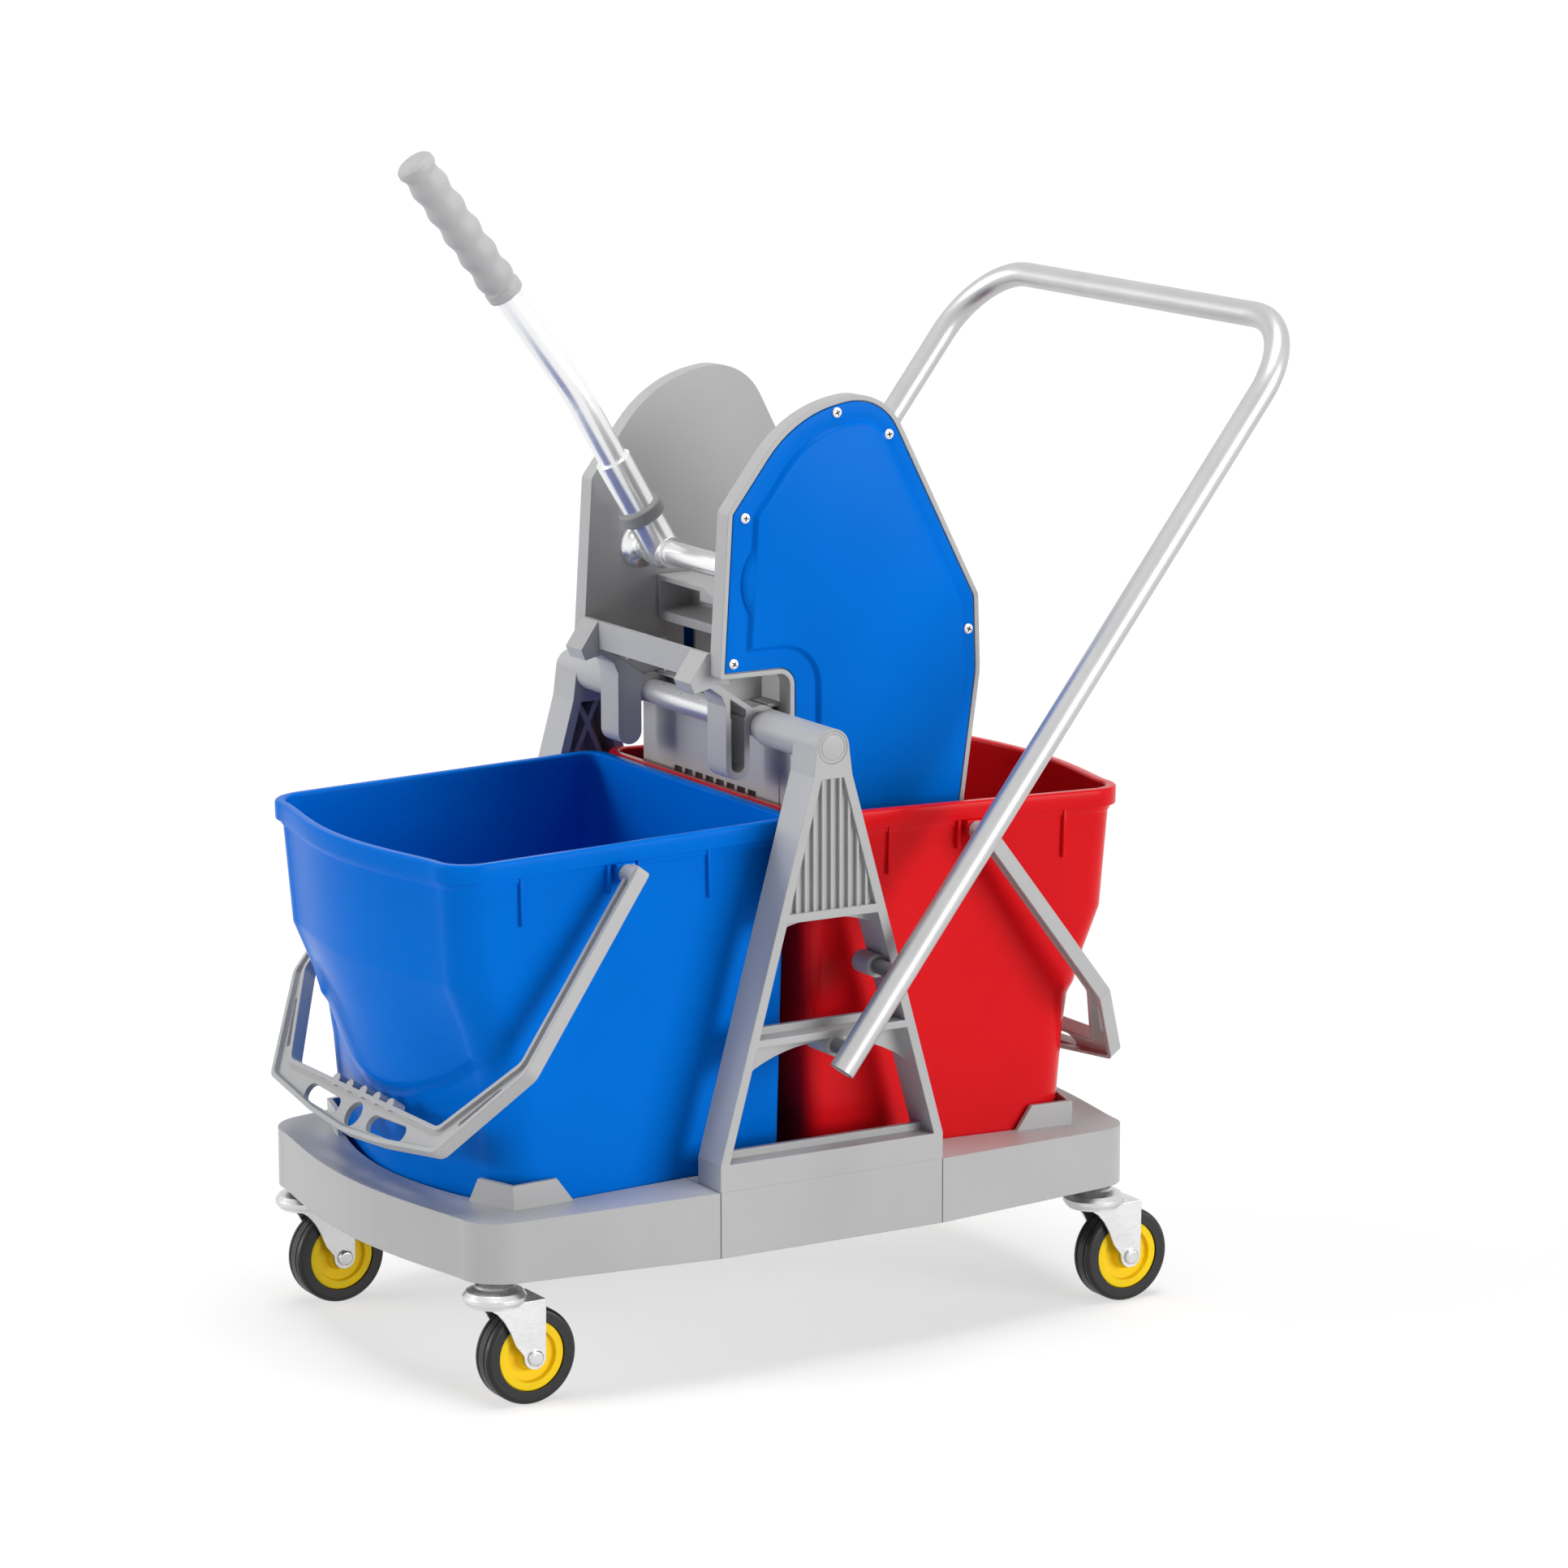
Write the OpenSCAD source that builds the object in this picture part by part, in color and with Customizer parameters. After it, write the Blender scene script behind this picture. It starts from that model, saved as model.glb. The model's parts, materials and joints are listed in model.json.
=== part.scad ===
// Double mop bucket trolley with a down-press wringer.
// Millimetres, +Z up, floor at z = 0, the red bucket and the push handle toward +X.

/* [Base] */
// Length of the middle block of the base
block_length = 208; // [180:1:240]
// Width of the middle block of the base
block_width = 431; // [400:1:470]
// Height of the underside of the base over the floor
base_under = 106; // [95:1:120]
// Height of the top of the middle block over the floor
base_top = 160; // [150:1:175]
// Reach of each tray from the middle of the base
tray_reach = 327; // [310:1:345]
// Angle by which the sides of the trays draw in
tray_taper = 7.2; // [4:0.1:9]
// Bow of each tray end beyond its corners
tray_sag = 19.2; // [12:0.1:26]
// Radius of the tray corners
tray_corner = 34; // [25:1:45]
// Angle by which the trays fall away outward
deck_fall = 1.5; // [0:0.1:3]
// Height of the bucket seat over the floor, at the middle
seat_height = 128; // [122:1:136]
// Wall thickness of the base
base_wall = 4; // [3:0.5:6]
// Height of the corner guards over the tray
guard_height = 20; // [12:1:30]

/* [Casters] */
// Distance of the caster stems from the middle along the trolley
caster_x = 283; // [265:1:295]
// Distance of the caster stems from the middle across the trolley
caster_y = 168; // [150:1:172]
// Diameter of the wheel over the tyre
wheel_d = 80; // [70:1:90]
// Width of the tyre
wheel_width = 23; // [18:1:26]
// Outer diameter of the wheel hub
hub_d = 58; // [48:1:64]
// Trail of the wheel behind its swivel axis
caster_trail = 27; // [20:1:32]
// Diameter of the swivel pin
swivel_d = 10; // [8:0.5:12]
// Diameter of the wheel axle
axle_d = 8; // [6:0.5:10]
// Thickness of the fork sheet
fork_sheet = 2.5; // [2:0.1:3.5]
// Diameter of the swivel dome of the fork
dome_d = 51; // [44:1:56]

/* [Uprights] */
// Depth of each upright across the trolley
upright_depth = 36; // [28:1:44]
// Height of the cross tube over the floor
tube_height = 510; // [490:1:540]
// Outer radius of the sleeve that holds the cross tube
sleeve_r = 15; // [14:0.5:19]
// Inner end of the sleeve, from the middle of the trolley
sleeve_inner = 109; // [107:1:130]
// Width of the rim round each upright
rim_width = 8; // [6:0.5:12]
// Half width of the upright at its top
upright_top = 18; // [16:1:24]
// Number of ribs on the panel of each upright
panel_ribs = 9; // [5:1:12]

/* [Push handle] */
// Outer diameter of the handle tube and the cross tube
tube_d = 21.3; // [19:0.1:25]
// Wall thickness of the tubes
tube_wall = 1.5; // [1:0.1:2.5]
// Distance of the handle legs from the middle of the trolley
handle_half = 241.8; // [235:0.2:255]
// Length of the handle from its foot to its bar
handle_length = 720; // [650:5:760]
// Lean of the handle from upright
handle_lean = 37.7; // [30:0.1:42]
// Bend radius of the handle corners
handle_bend = 70; // [50:1:90]
// Position of the handle foot along the trolley
handle_foot_x = -7.9; // [-12:0.1:0]
// Height of the handle foot over the floor
handle_foot_z = 253; // [248:1:258]
// Distance of the lower bolt from the handle foot
low_bolt = 18; // [14:1:24]
// Distance of the upper bolt from the handle foot
high_bolt = 91; // [85:1:97]

/* [Buckets] */
// Height of each bucket
bucket_height = 318; // [290:1:330]
// Height of the band of the bucket rim
rim_band = 15; // [10:1:20]
// Overhang of the bucket rim over the wall
rim_over = 6; // [3:0.5:8]
// Wall thickness of the bucket
bucket_wall = 3; // [2:0.1:4]
// Inset of the bucket rim past the middle of the trolley, before the tilt
bucket_setback = 7.3; // [6.6:0.1:8]
// Position of the bail pivot along the bucket
lug_u = 162.6; // [150:0.1:175]
// Height of the bail pivot over the bucket bottom
lug_w = 294.5; // [285:0.1:294.5]

/* [Bails] */
// Gap between the grip of a resting bail and the bucket front
bail_gap = 12.8; // [12.5:0.1:20]
// Distance from the bail pivot to the knee of its arms
bail_knee = 178; // [170:1:185]
// Distance from the bail pivot to the outer edge of the grip corners
bail_reach = 265; // [240:1:290]
// Width of the bail rails across their plane
bail_thick = 12; // [9:0.5:14]
// Thickness of the bail web
bail_web = 4.5; // [3:0.5:6]
// Diameter of the bail pivot pegs
peg_d = 9; // [7:0.5:10]

/* [Wringer] */
// Distance between the inner faces of the wringer panels
wringer_width = 208; // [204:1:210]
// Thickness of the wringer panel plate
panel_plate = 3.5; // [3:0.1:4]
// Height of the panel rim over the panel's inner face
panel_depth = 17; // [16.5:0.1:17]
// Wall thickness of the panel rim
panel_rim = 4; // [3:0.5:5]
// Thickness of the wringer cover
cover_sheet = 2.5; // [2:0.1:2.5]
// Height of the raised field of the cover
cover_field = 3; // [2:0.1:4]
// Depth of the wringer floor under the cross tube
hopper_depth = 125; // [120:1:130]
// Depth of the top of the rear wall of the wringer under the cross tube
hopper_dip = 30; // [22:1:70]

/* [Press] */
// Module of the rack and pinion teeth
tooth_module = 3; // [3:0.5:3]
// Number of teeth of the full pinion circle
tooth_count = 24; // [24:1:24]
// Thickness of the pinions and racks
gear_width = 7.5; // [6:0.5:8]
// Position of the press shaft along the trolley
shaft_x = 6; // [4:0.5:8]
// Height of the press shaft over the cross tube
shaft_rise = 119; // [117:0.5:122]
// Diameter of the press shaft
shaft_d = 20; // [18:0.5:22]
// Height of the underside of the press plate over the cross tube, at rest
plate_rise = 55; // [53:1:57]
// Height of the press plate
plate_tall = 38; // [30:1:40]
// Travel of the press plate
press_travel = 69.1; // [60:0.1:69.1]

/* [Lever] */
// Position of the lever across the trolley
lever_y = 67; // [60:1:70]
// Outer diameter of the lever tube
lever_d = 24; // [22:0.5:25]
// Lean of the lower part of the lever toward -X
lever_lean = 30.3; // [28:0.1:33]
// Lean of the upper part of the lever toward -X
lever_top_lean = 37; // [33:0.1:40]
// Distance from the shaft to the bend of the lever
lever_bend = 161; // [150:1:170]
// Length of the lever beyond its bend
lever_upper = 243; // [225:1:250]
// Length of the lever grip
grip_length = 140; // [120:1:150]
// Distance from the shaft to the top of the lever socket
socket_top = 92; // [84:1:98]

/* [Clearances] */
// Running clearance of shafts and pins, on the radius
running = 0.05; // [0.02:0.01:0.1]
// Clearance of seated pieces
seated = 0.05; // [0.02:0.01:0.1]
// Clearance of the bucket in its seat
seat_gap = 2; // [1.5:0.1:2.5]
// Loss of tooth thickness that gives the rack its play
tooth_play = 0.45; // [0.3:0.05:0.6]

/* [Hidden] */
$fn = 64;
far = 400;
corners = ["front_near", "front_far", "rear_near", "rear_far"];

block_half = block_length / 2;
width_half = block_width / 2;
upright_out = width_half;
upright_in = width_half - upright_depth;
tube_r = tube_d / 2;
hopper_floor = tube_height - hopper_depth;
hopper_back = tube_height - hopper_dip;
shaft_z = tube_height + shaft_rise;
plate_low = tube_height + plate_rise;
deck_w = (block_half + bucket_setback) * sin(deck_fall) + (base_top - seat_height) * cos(deck_fall);
panel_in = wringer_width / 2;
panel_out = panel_in + panel_depth;
gear_in = panel_in + panel_plate + 1;
gear_out = gear_in + gear_width;
pitch_r = tooth_module * tooth_count / 2;
pitch_x = shaft_x + pitch_r;
rack_x = pitch_x + 1.25 * tooth_module;
wheel_r = wheel_d / 2;
lean_dir = [sin(handle_lean), cos(handle_lean)];

// The part stands with the middle of its length over the origin.
handle_far = handle_foot_x + handle_length * sin(handle_lean) + tube_r;
rim_reach = 335;
rim_far = rim_reach * cos(deck_fall) + bucket_height * sin(deck_fall) - bucket_setback;
origin_x = (handle_far - rim_far) / 2;

grey = [0.71, 0.71, 0.71];
dark_grey = [0.5, 0.5, 0.51];
steel = [0.82, 0.83, 0.84];
blue = [0.0, 0.44, 0.87];
red = [0.88, 0.1, 0.14];
yellow = [1.0, 0.84, 0.1];
black = [0.06, 0.06, 0.06];

module placed() {
    translate([-origin_x, 0, 0]) children();
}

// A profile drawn in x and z becomes a plate between two y values.
module plate(y0, y1) {
    translate([0, y1, 0]) rotate([90, 0, 0]) linear_extrude(y1 - y0) children();
}

// Pieces are drawn on the far side, +Y, and mirrored for the near side.
module side(s) {
    if (s > 0) children();
    else mirror([0, 1, 0]) children();
}

// Pieces of the red end are drawn toward +X and mirrored for the blue end.
module end(e) {
    if (e > 0) children();
    else mirror([1, 0, 0]) children();
}

// The tilted frame of a bucket seat: u outward, v across, w up from the seat.
module on_seat() {
    translate([-bucket_setback, 0, seat_height]) rotate([0, deck_fall, 0]) children();
}

function unit(v) = v / norm(v);
function left(v) = [-v[1], v[0]];
function before(points, i) = points[(i + len(points) - 1) % len(points)];
function after(points, i) = points[(i + 1) % len(points)];
function turn(points, i) = cross(points[i] - before(points, i), after(points, i) - points[i]);
function half_angle(points, i) =
    acos(unit(before(points, i) - points[i]) * unit(after(points, i) - points[i])) / 2;
function tangent(points, radii, i, to) =
    points[i] + unit(to - points[i]) * radii[i] / tan(half_angle(points, i));
function corner_centre(points, radii, i) =
    points[i] + unit(unit(before(points, i) - points[i]) + unit(after(points, i) - points[i]))
    * radii[i] / sin(half_angle(points, i));

// Each corner of an outline, drawn counter-clockwise, moved inward by a distance.
function inset(points, d) = [
    for (i = [0 : len(points) - 1])
        let (a = left(unit(points[i] - before(points, i))), b = left(unit(after(points, i) - points[i])))
        points[i] + d * (a + b) / (1 + a * b)
];
function inset_radii(points, radii, d) = [
    for (i = [0 : len(points) - 1])
        radii[i] == 0 ? 0 : (turn(points, i) > 0 ? max(radii[i] - d, 0.5) : radii[i] + d)
];

// The points of one rounded corner, in steps of about five degrees.
function corner_points(points, radii, i) =
    let (
        c = corner_centre(points, radii, i),
        a = tangent(points, radii, i, before(points, i)) - c,
        sweep = (180 - 2 * half_angle(points, i)) * sign(turn(points, i)),
        from = atan2(a[1], a[0]),
        n = max(2, ceil(abs(sweep) / 5))
    )
    [for (k = [0 : n]) c + radii[i] * [cos(from + sweep * k / n), sin(from + sweep * k / n)]];

// An outline with each of its corners rounded by its own radius.
module rounded(points, radii) {
    polygon([
        for (i = [0 : len(points) - 1]) each radii[i] == 0 ? [points[i]] : corner_points(points, radii, i)
    ]);
}

// A slot with round ends, from a to b.
module slot(a, b, r) {
    turn = atan2(b[1] - a[1], b[0] - a[0]);
    polygon([
        for (k = [0 : 16]) a + r * [cos(turn + 90 + k * 11.25), sin(turn + 90 + k * 11.25)],
        for (k = [0 : 16]) b + r * [cos(turn - 90 + k * 11.25), sin(turn - 90 + k * 11.25)]
    ]);
}

// Base

// Plan of a tray: tapered sides, rounded corners and an end that bows out between soft
// shoulders, all moved in by d.
module tray_plan(d) {
    r = tray_corner - d;
    flat = tray_reach - tray_sag - d;
    along = [cos(tray_taper), -sin(tray_taper)];
    inward = [-sin(tray_taper), -cos(tray_taper)];
    start = [block_half, width_half] + inward * d;
    centre = start + inward * r + along * (flat - r - start[0] - inward[0] * r) / along[0];
    begin = start - along * (start[0] - block_half + (d > 0 ? 1 : 0)) / along[0];
    bow = bow_points(flat, tray_sag, centre[1], 1.3, 24);
    turned = 90 - tray_taper;
    upper = [for (i = [1 : 12]) centre + r * [cos(turned * i / 12), sin(turned * i / 12)]];
    lower = [for (i = [11 : -1 : 0]) [upper[i][0], -upper[i][1]]];
    polygon(concat([[begin[0], -begin[1]]], lower, bow, upper, [begin]));
}

// An end that bows out by sag over a flat line, from -half to half, with soft shoulders.
function bow_points(flat, sag, half, power, n) = [
    for (i = [0 : n])
        let (t = sin(180 * i / n - 90))
        [flat + sag * pow(max(1 - t * t, 0), power), half * t]
];

// Plan of the bucket seat in its tilted frame, grown by d.
module seat_plan(d) {
    w = deck_w;
    reach = lookup(w, reach_at) + d;
    half = lookup(w, half_at) + d;
    bow = lookup(w, bow_at) + d;
    r = lookup(w, corner_at) + d;
    start = lookup(0, inner_at) - d;
    bow_u = reach - bow;
    centre = [bow_u + sqrt(pow(bow - r, 2) - pow(half - r, 2)), half - r];
    on_bow = [bow_u, 0] + unit(centre - [bow_u, 0]) * bow;
    polygon([
        [start, -half], [centre[0], -half], [on_bow[0], -on_bow[1]],
        on_bow, [centre[0], half], [start, half]
    ]);
    intersection() {
        translate([bow_u, 0]) circle(bow);
        translate([on_bow[0], -on_bow[1]]) square([100, 2 * on_bow[1]]);
    }
    for (m = [0, 1]) {
        mirror([0, m]) intersection() {
            translate(centre) circle(r);
            polygon([centre, [centre[0], half], [centre[0] + 60, half + 10], on_bow]);
        }
    }
}

module above(w) {
    on_seat() translate([-far, -far, w]) cube([2 * far, 2 * far, far]);
}

module tray_body() {
    difference() {
        union() {
            difference() {
                translate([0, 0, base_under]) linear_extrude(base_top - base_under + 2) tray_plan(0);
                above(deck_w);
                on_seat() linear_extrude(far) seat_plan(seat_gap);
                difference() {
                    translate([0, 0, base_under - 1]) linear_extrude(70) tray_plan(base_wall);
                    above(deck_w - base_wall);
                    on_seat() translate([0, 0, -base_wall]) linear_extrude(far)
                        seat_plan(seat_gap + base_wall);
                    tray_ribs();
                }
            }
            tray_guards();
        }
        for (s = [-1, 1]) {
            translate([caster_x, s * caster_y, base_under - 1])
                cylinder(r = swivel_d / 2 + seated, h = 25);
        }
    }
}

// Bosses for the caster stems, stiffening ribs and the flange against the block.
module tray_ribs() {
    for (s = [-1, 1]) {
        translate([caster_x, s * caster_y, base_under]) cylinder(r = 15, h = 60);
        translate([block_half, s * 80 - 1.5, base_under + 2]) cube([240, 3, 60]);
    }
    translate([190, -far / 2, base_under + 2]) cube([3, far, 60]);
    translate([block_half - 2, -far, base_under]) cube([base_wall + 2, 2 * far, 60]);
}

// Corner guards: two flat wings that meet in a crease outside each bucket corner.
module tray_guards() {
    t = 4;
    low = deck_w - 6;
    high = deck_w + guard_height;
    half = lookup(high, half_at) + seat_gap;
    bow = lookup(high, bow_at) + seat_gap;
    lean = asin((half - 50) / bow);
    out = [cos(lean), sin(lean)];
    along = left(out);
    touch = [lookup(high, reach_at) + seat_gap - bow, 0] + out * bow;
    crease = touch + along * (half - touch[1]) / along[1];
    front_end = crease - along * 47;
    side_end = crease - [51, 0];
    on_seat() for (s = [-1, 1]) side(s) difference() {
        translate([0, 0, low]) linear_extrude(high - low) polygon([
            front_end, front_end + out * t, crease + t * (out + [0, 1]) / (1 + out[1]),
            side_end + [0, t], side_end, crease
        ]);
        wing_end(front_end, 90 + lean, 11);
        wing_end(side_end, 0, 14);
    }
}

// Cuts the end of a guard wing so that it leans in by a run over the guard's height.
module wing_end(p, angle, run) {
    translate([p[0], p[1], deck_w]) rotate([0, 0, angle]) rotate([0, atan(run / guard_height), 0])
        translate([-60, -20, 0]) cube([60, 40, 60]);
}

module front_tray() {
    color(grey) placed() end(-1) tray_body();
}

module rear_tray() {
    color(grey) placed() end(1) tray_body();
}

module centre_block() {
    color(grey) placed() difference() {
        translate([-block_half, -width_half, base_under])
            cube([block_length, block_width, base_top - base_under]);
        for (e = [-1, 1]) {
            end(e) on_seat() linear_extrude(far) seat_plan(seat_gap);
            end(e) block_pockets();
        }
    }
}

// Hollow underside of one half of the block, with ribs left standing.
module block_pockets() {
    pocket_x = [4, 54];
    difference() {
        for (x = pocket_x) {
            for (s = [-1, 1]) {
                translate([x, s > 0 ? 4 : -width_half + base_wall, base_under - 1])
                    cube([44, width_half - base_wall - 4, base_top - base_under - base_wall + 1]);
            }
        }
        on_seat() translate([0, 0, -base_wall]) linear_extrude(far) seat_plan(seat_gap + base_wall);
        divider();
    }
}

// The divider that stands between the two bucket seats.
module divider() {
    translate([-60, -far, seat_height - base_wall]) cube([72, 2 * far, 60]);
}

// Uprights

function leg_at(z) = block_half - (z - foot_top) * (block_half - upright_top) / (neck_z - foot_top);
foot_top = base_top + 22;
neck_z = tube_height - 23;
band_low = tube_height - 138;
band_high = tube_height - 131;
bar_low = base_top + 114;
bar_high = base_top + 120;
panel_top = tube_height - 25;
boss_low = [handle_foot_x + low_bolt * lean_dir[0], handle_foot_z + low_bolt * lean_dir[1]];
boss_high = [handle_foot_x + high_bolt * lean_dir[0], handle_foot_z + high_bolt * lean_dir[1]];
rim_slant = rim_width * 1.04;
spacer_r = 6.2;

// The space inside the rim of an upright between two heights.
module bay(z0, z1) {
    polygon([
        [-leg_at(z0) + rim_slant, z0], [leg_at(z0) - rim_slant, z0],
        [leg_at(z1) - rim_slant, z1], [-leg_at(z1) + rim_slant, z1]
    ]);
}

module upright_outline() {
    polygon([
        [-block_half, base_top], [block_half, base_top], [block_half, foot_top],
        [upright_top, neck_z], [sleeve_r, tube_height], [-sleeve_r, tube_height],
        [-upright_top, neck_z], [-block_half, foot_top]
    ]);
    translate([0, tube_height]) circle(sleeve_r);
}

module arch(half, spring, rise) {
    r = (half * half + rise * rise) / (2 * rise);
    translate([0, spring + rise - r]) circle(r);
}

module upright_body() {
    web_in = upright_in + 14;
    web_out = web_in + 5;
    low_arch = bar_low - 6;
    high_arch = band_low - 2.5;
    rib_step = 2 * (leg_at(band_high) - rim_slant) / (panel_ribs + 1);
    difference() {
        union() {
            difference() {
                plate(upright_in, upright_out) upright_outline();
                plate(upright_in - 1, upright_out + 1) bay(foot_top, bar_low);
                plate(upright_in - 1, upright_out + 1) bay(bar_high, band_low);
                plate(upright_out - 5, upright_out + 1) bay(band_high, panel_top);
                plate(upright_in - 1, upright_out - 9) bay(band_high, panel_top);
                plate(upright_in - 1, upright_out - 5) polygon([
                    [-block_half + 8, base_top + 4], [block_half - 8, base_top + 4],
                    [block_half - 8, foot_top - 4], [-block_half + 8, foot_top - 4]
                ]);
            }
            plate(web_in, web_out) difference() {
                bay(foot_top - 1, bar_low + 1);
                intersection() {
                    bay(foot_top + 6, bar_low);
                    arch(71, low_arch - 20, 20);
                }
            }
            plate(web_in, web_out) difference() {
                bay(bar_high - 1, band_low + 1);
                intersection() {
                    bay(bar_high + 6, band_low);
                    arch(45, high_arch - 8.5, 8.5);
                }
            }
            plate(upright_out - 6, upright_out - 1.5) intersection() {
                bay(band_high - 1, panel_top + 1);
                for (i = [1 : panel_ribs]) {
                    x = -leg_at(band_high) + rim_slant + i * rib_step;
                    translate([x - 1.25, band_high - 1]) square([2.5, panel_top - band_high + 2]);
                }
            }
            plate(upright_in + 8, upright_out - 8) intersection() {
                bay(band_high - 1, panel_top + 1);
                union() {
                    cross_rib(1);
                    cross_rib(-1);
                }
            }
            plate(upright_in + 2, upright_out) translate(boss_low) circle(9);
            plate(upright_in + 2, upright_out - 10.5) translate(boss_high) circle(9.5);
            plate(sleeve_inner, upright_out) translate([0, tube_height]) circle(sleeve_r - 2.2);
            plate(sleeve_inner + 9, upright_out) translate([0, tube_height]) circle(sleeve_r);
        }
        plate(upright_out - 10.5, upright_out + 1) translate(boss_high) circle(spacer_r + 2 * seated);
        plate(sleeve_inner - 1, upright_out + 1) translate([0, tube_height]) circle(tube_r + seated);
        plate(upright_out - 3, upright_out + 1) translate([0, tube_height]) circle(13.3);
        plate(upright_in - 1, upright_out + 1) translate(boss_low) circle(4 + seated);
        plate(upright_in - 1, upright_out + 1) translate(boss_high) circle(4 + seated);
    }
}

module cross_rib(m) {
    b = leg_at(band_high) - rim_slant;
    t = leg_at(panel_top) - rim_slant;
    polygon([
        [m * (-b - 2), band_high], [m * (-b + 3), band_high],
        [m * (t + 2), panel_top], [m * (t - 3), panel_top]
    ]);
}

module near_upright() {
    color(grey) placed() side(-1) upright_body();
}

module far_upright() {
    color(grey) placed() side(1) upright_body();
}

module cross_tube() {
    long = upright_out - 4;
    color(steel) placed() plate(-long, long) translate([0, tube_height]) difference() {
        circle(tube_r);
        circle(tube_r - tube_wall);
    }
}

module boss_caps() {
    color(grey) placed() for (s = [-1, 1]) side(s) {
        plate(upright_out - 3 + seated, upright_out) translate([0, tube_height]) difference() {
            circle(13.3 - seated);
            circle(6);
        }
        plate(upright_out - 3 + seated, upright_out - 0.8) translate([0, tube_height]) circle(6.5);
        plate(upright_out - 14, upright_out - 2) translate([0, tube_height])
            circle(tube_r - tube_wall - seated);
    }
}

// Push handle

module on_handle() {
    translate([handle_foot_x, 0, handle_foot_z]) rotate([0, handle_lean, 0]) children();
}

module handle_form(r, extra) {
    straight = handle_length - handle_bend;
    bar = handle_half - handle_bend;
    on_handle() {
        for (s = [-1, 1]) {
            translate([0, s * handle_half, -extra]) cylinder(r = r, h = straight + extra);
            translate([0, s * bar, straight]) rotate([90, 0, s > 0 ? 90 : -90])
                rotate_extrude(angle = 90) translate([handle_bend, 0]) circle(r);
        }
        translate([0, -bar, handle_length]) rotate([-90, 0, 0]) cylinder(r = r, h = 2 * bar);
    }
}

module push_handle() {
    color(steel) placed() difference() {
        handle_form(tube_r, 0);
        handle_form(tube_r - tube_wall, 1);
        for (s = [-1, 1]) side(s) for (b = [boss_low, boss_high]) {
            plate(handle_half - 20, handle_half - 3) translate(b) circle(4 + seated);
        }
    }
}

module handle_bolts() {
    color(steel) placed() for (s = [-1, 1]) side(s) for (b = [boss_low, boss_high]) {
        plate(upright_in - 4, handle_half - 2) translate(b) circle(4);
        plate(handle_half - 6.2, handle_half - 2) translate(b) circle(6);
        plate(upright_in - 4, upright_in + 2 - seated) translate(b) circle(7, $fn = 6);
    }
}

module handle_spacers() {
    color(dark_grey) placed() for (s = [-1, 1]) side(s) difference() {
        for (b = [[boss_low, upright_out], [boss_high, upright_out - 10.5]]) {
            plate(b[1] + seated, handle_half - 6) translate(b[0]) difference() {
                circle(spacer_r);
                circle(4 + seated);
            }
        }
        on_handle() translate([0, handle_half, 0]) cylinder(r = tube_r + seated, h = 140);
    }
}

// Buckets

// Sections of the bucket against height: reach, half width, inner end, bow and corner radius.
reach_at = [
    [0, 292], [30, 294], [88, 298], [98, 298.8], [118, 305.5], [149, 310], [216, 324],
    [bucket_height - rim_band, 329]
];
bow_at = [[0, 350], [30, 355], [88, 420], [149, 470], [216, 525], [bucket_height - rim_band, 525]];
half_at = [[0, 157], [bucket_height - rim_band, 163]];
inner_at = [[0, 20], [bucket_height - rim_band, 6]];
corner_at = [[0, 40], [88, 36], [216, 30], [bucket_height - rim_band, 28]];
// How far the crease under the belly is raised at the corners.
lift_at = [[60, 0], [118, 41], [157, 41], [216, 0]];
bow_steps = 16;
corner_steps = 6;

function arc(c, r, a, b, n, skip) = [
    for (i = [skip : n]) c + r * [cos(a + (b - a) * i / n), sin(a + (b - a) * i / n)]
];

// Place of the corner's outer edge along the bucket, at height w.
function corner_edge(w, out) =
    let (
        bow = lookup(w, bow_at) + out,
        r = lookup(w, corner_at) + out,
        half = lookup(w, half_at) + out
    )
    lookup(w, reach_at) + out - bow + r + sqrt(pow(bow - r, 2) - pow(half - r, 2));

// The height in the tables that holds at height w, from t = 0 in the middle to 1 at the corner.
function table_level(w, t) = w - t * t * lookup(w, lift_at);

// The bowed front of a ring, with soft shoulders.
function front_points(w, out, half) = [
    for (i = [0 : bow_steps])
        let (
            t = sin(180 * i / bow_steps - 90),
            level = table_level(w, t),
            flat = corner_edge(level, out),
            sag = lookup(level, reach_at) + out - flat
        )
        [flat + sag * pow(max(1 - t * t, 0), 1.2), half * t]
];

// One ring of points round the bucket at height w, moved outward by out.
function bucket_ring(w, out) =
    let (
        half = lookup(w, half_at) + out,
        r = lookup(w, corner_at) + out,
        ri = 16 + out,
        start = lookup(w, inner_at) - out,
        cu = corner_edge(table_level(w, 1), out) - r,
        outline = concat(
            front_points(w, out, half - r),
            arc([cu, half - r], r, 0, 90, corner_steps, 1),
            arc([start + ri, half - ri], ri, 90, 180, corner_steps, 0),
            arc([start + ri, ri - half], ri, 180, 270, corner_steps, 0),
            arc([cu, r - half], r, 270, 360, corner_steps, 0)
        )
    )
    [for (i = [0 : len(outline) - 2]) [outline[i][0], outline[i][1], w]];

function at_height(ring, w) = [for (p = ring) [p[0], p[1], w]];

// A skin through rings of equal length, closed at its first and last ring.
module skin(rings) {
    n = len(rings[0]);
    last = len(rings) - 1;
    polyhedron(
        [for (r = rings) each r],
        concat(
            [[for (j = [0 : n - 1]) j]],
            [for (i = [0 : last - 1]) for (j = [0 : n - 1])
                let (k = (j + 1) % n)
                each [
                    [i * n + j, (i + 1) * n + j, (i + 1) * n + k],
                    [i * n + j, (i + 1) * n + k, i * n + k]
                ]],
            [[for (j = [n - 1 : -1 : 0]) last * n + j]]
        )
    );
}

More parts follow.
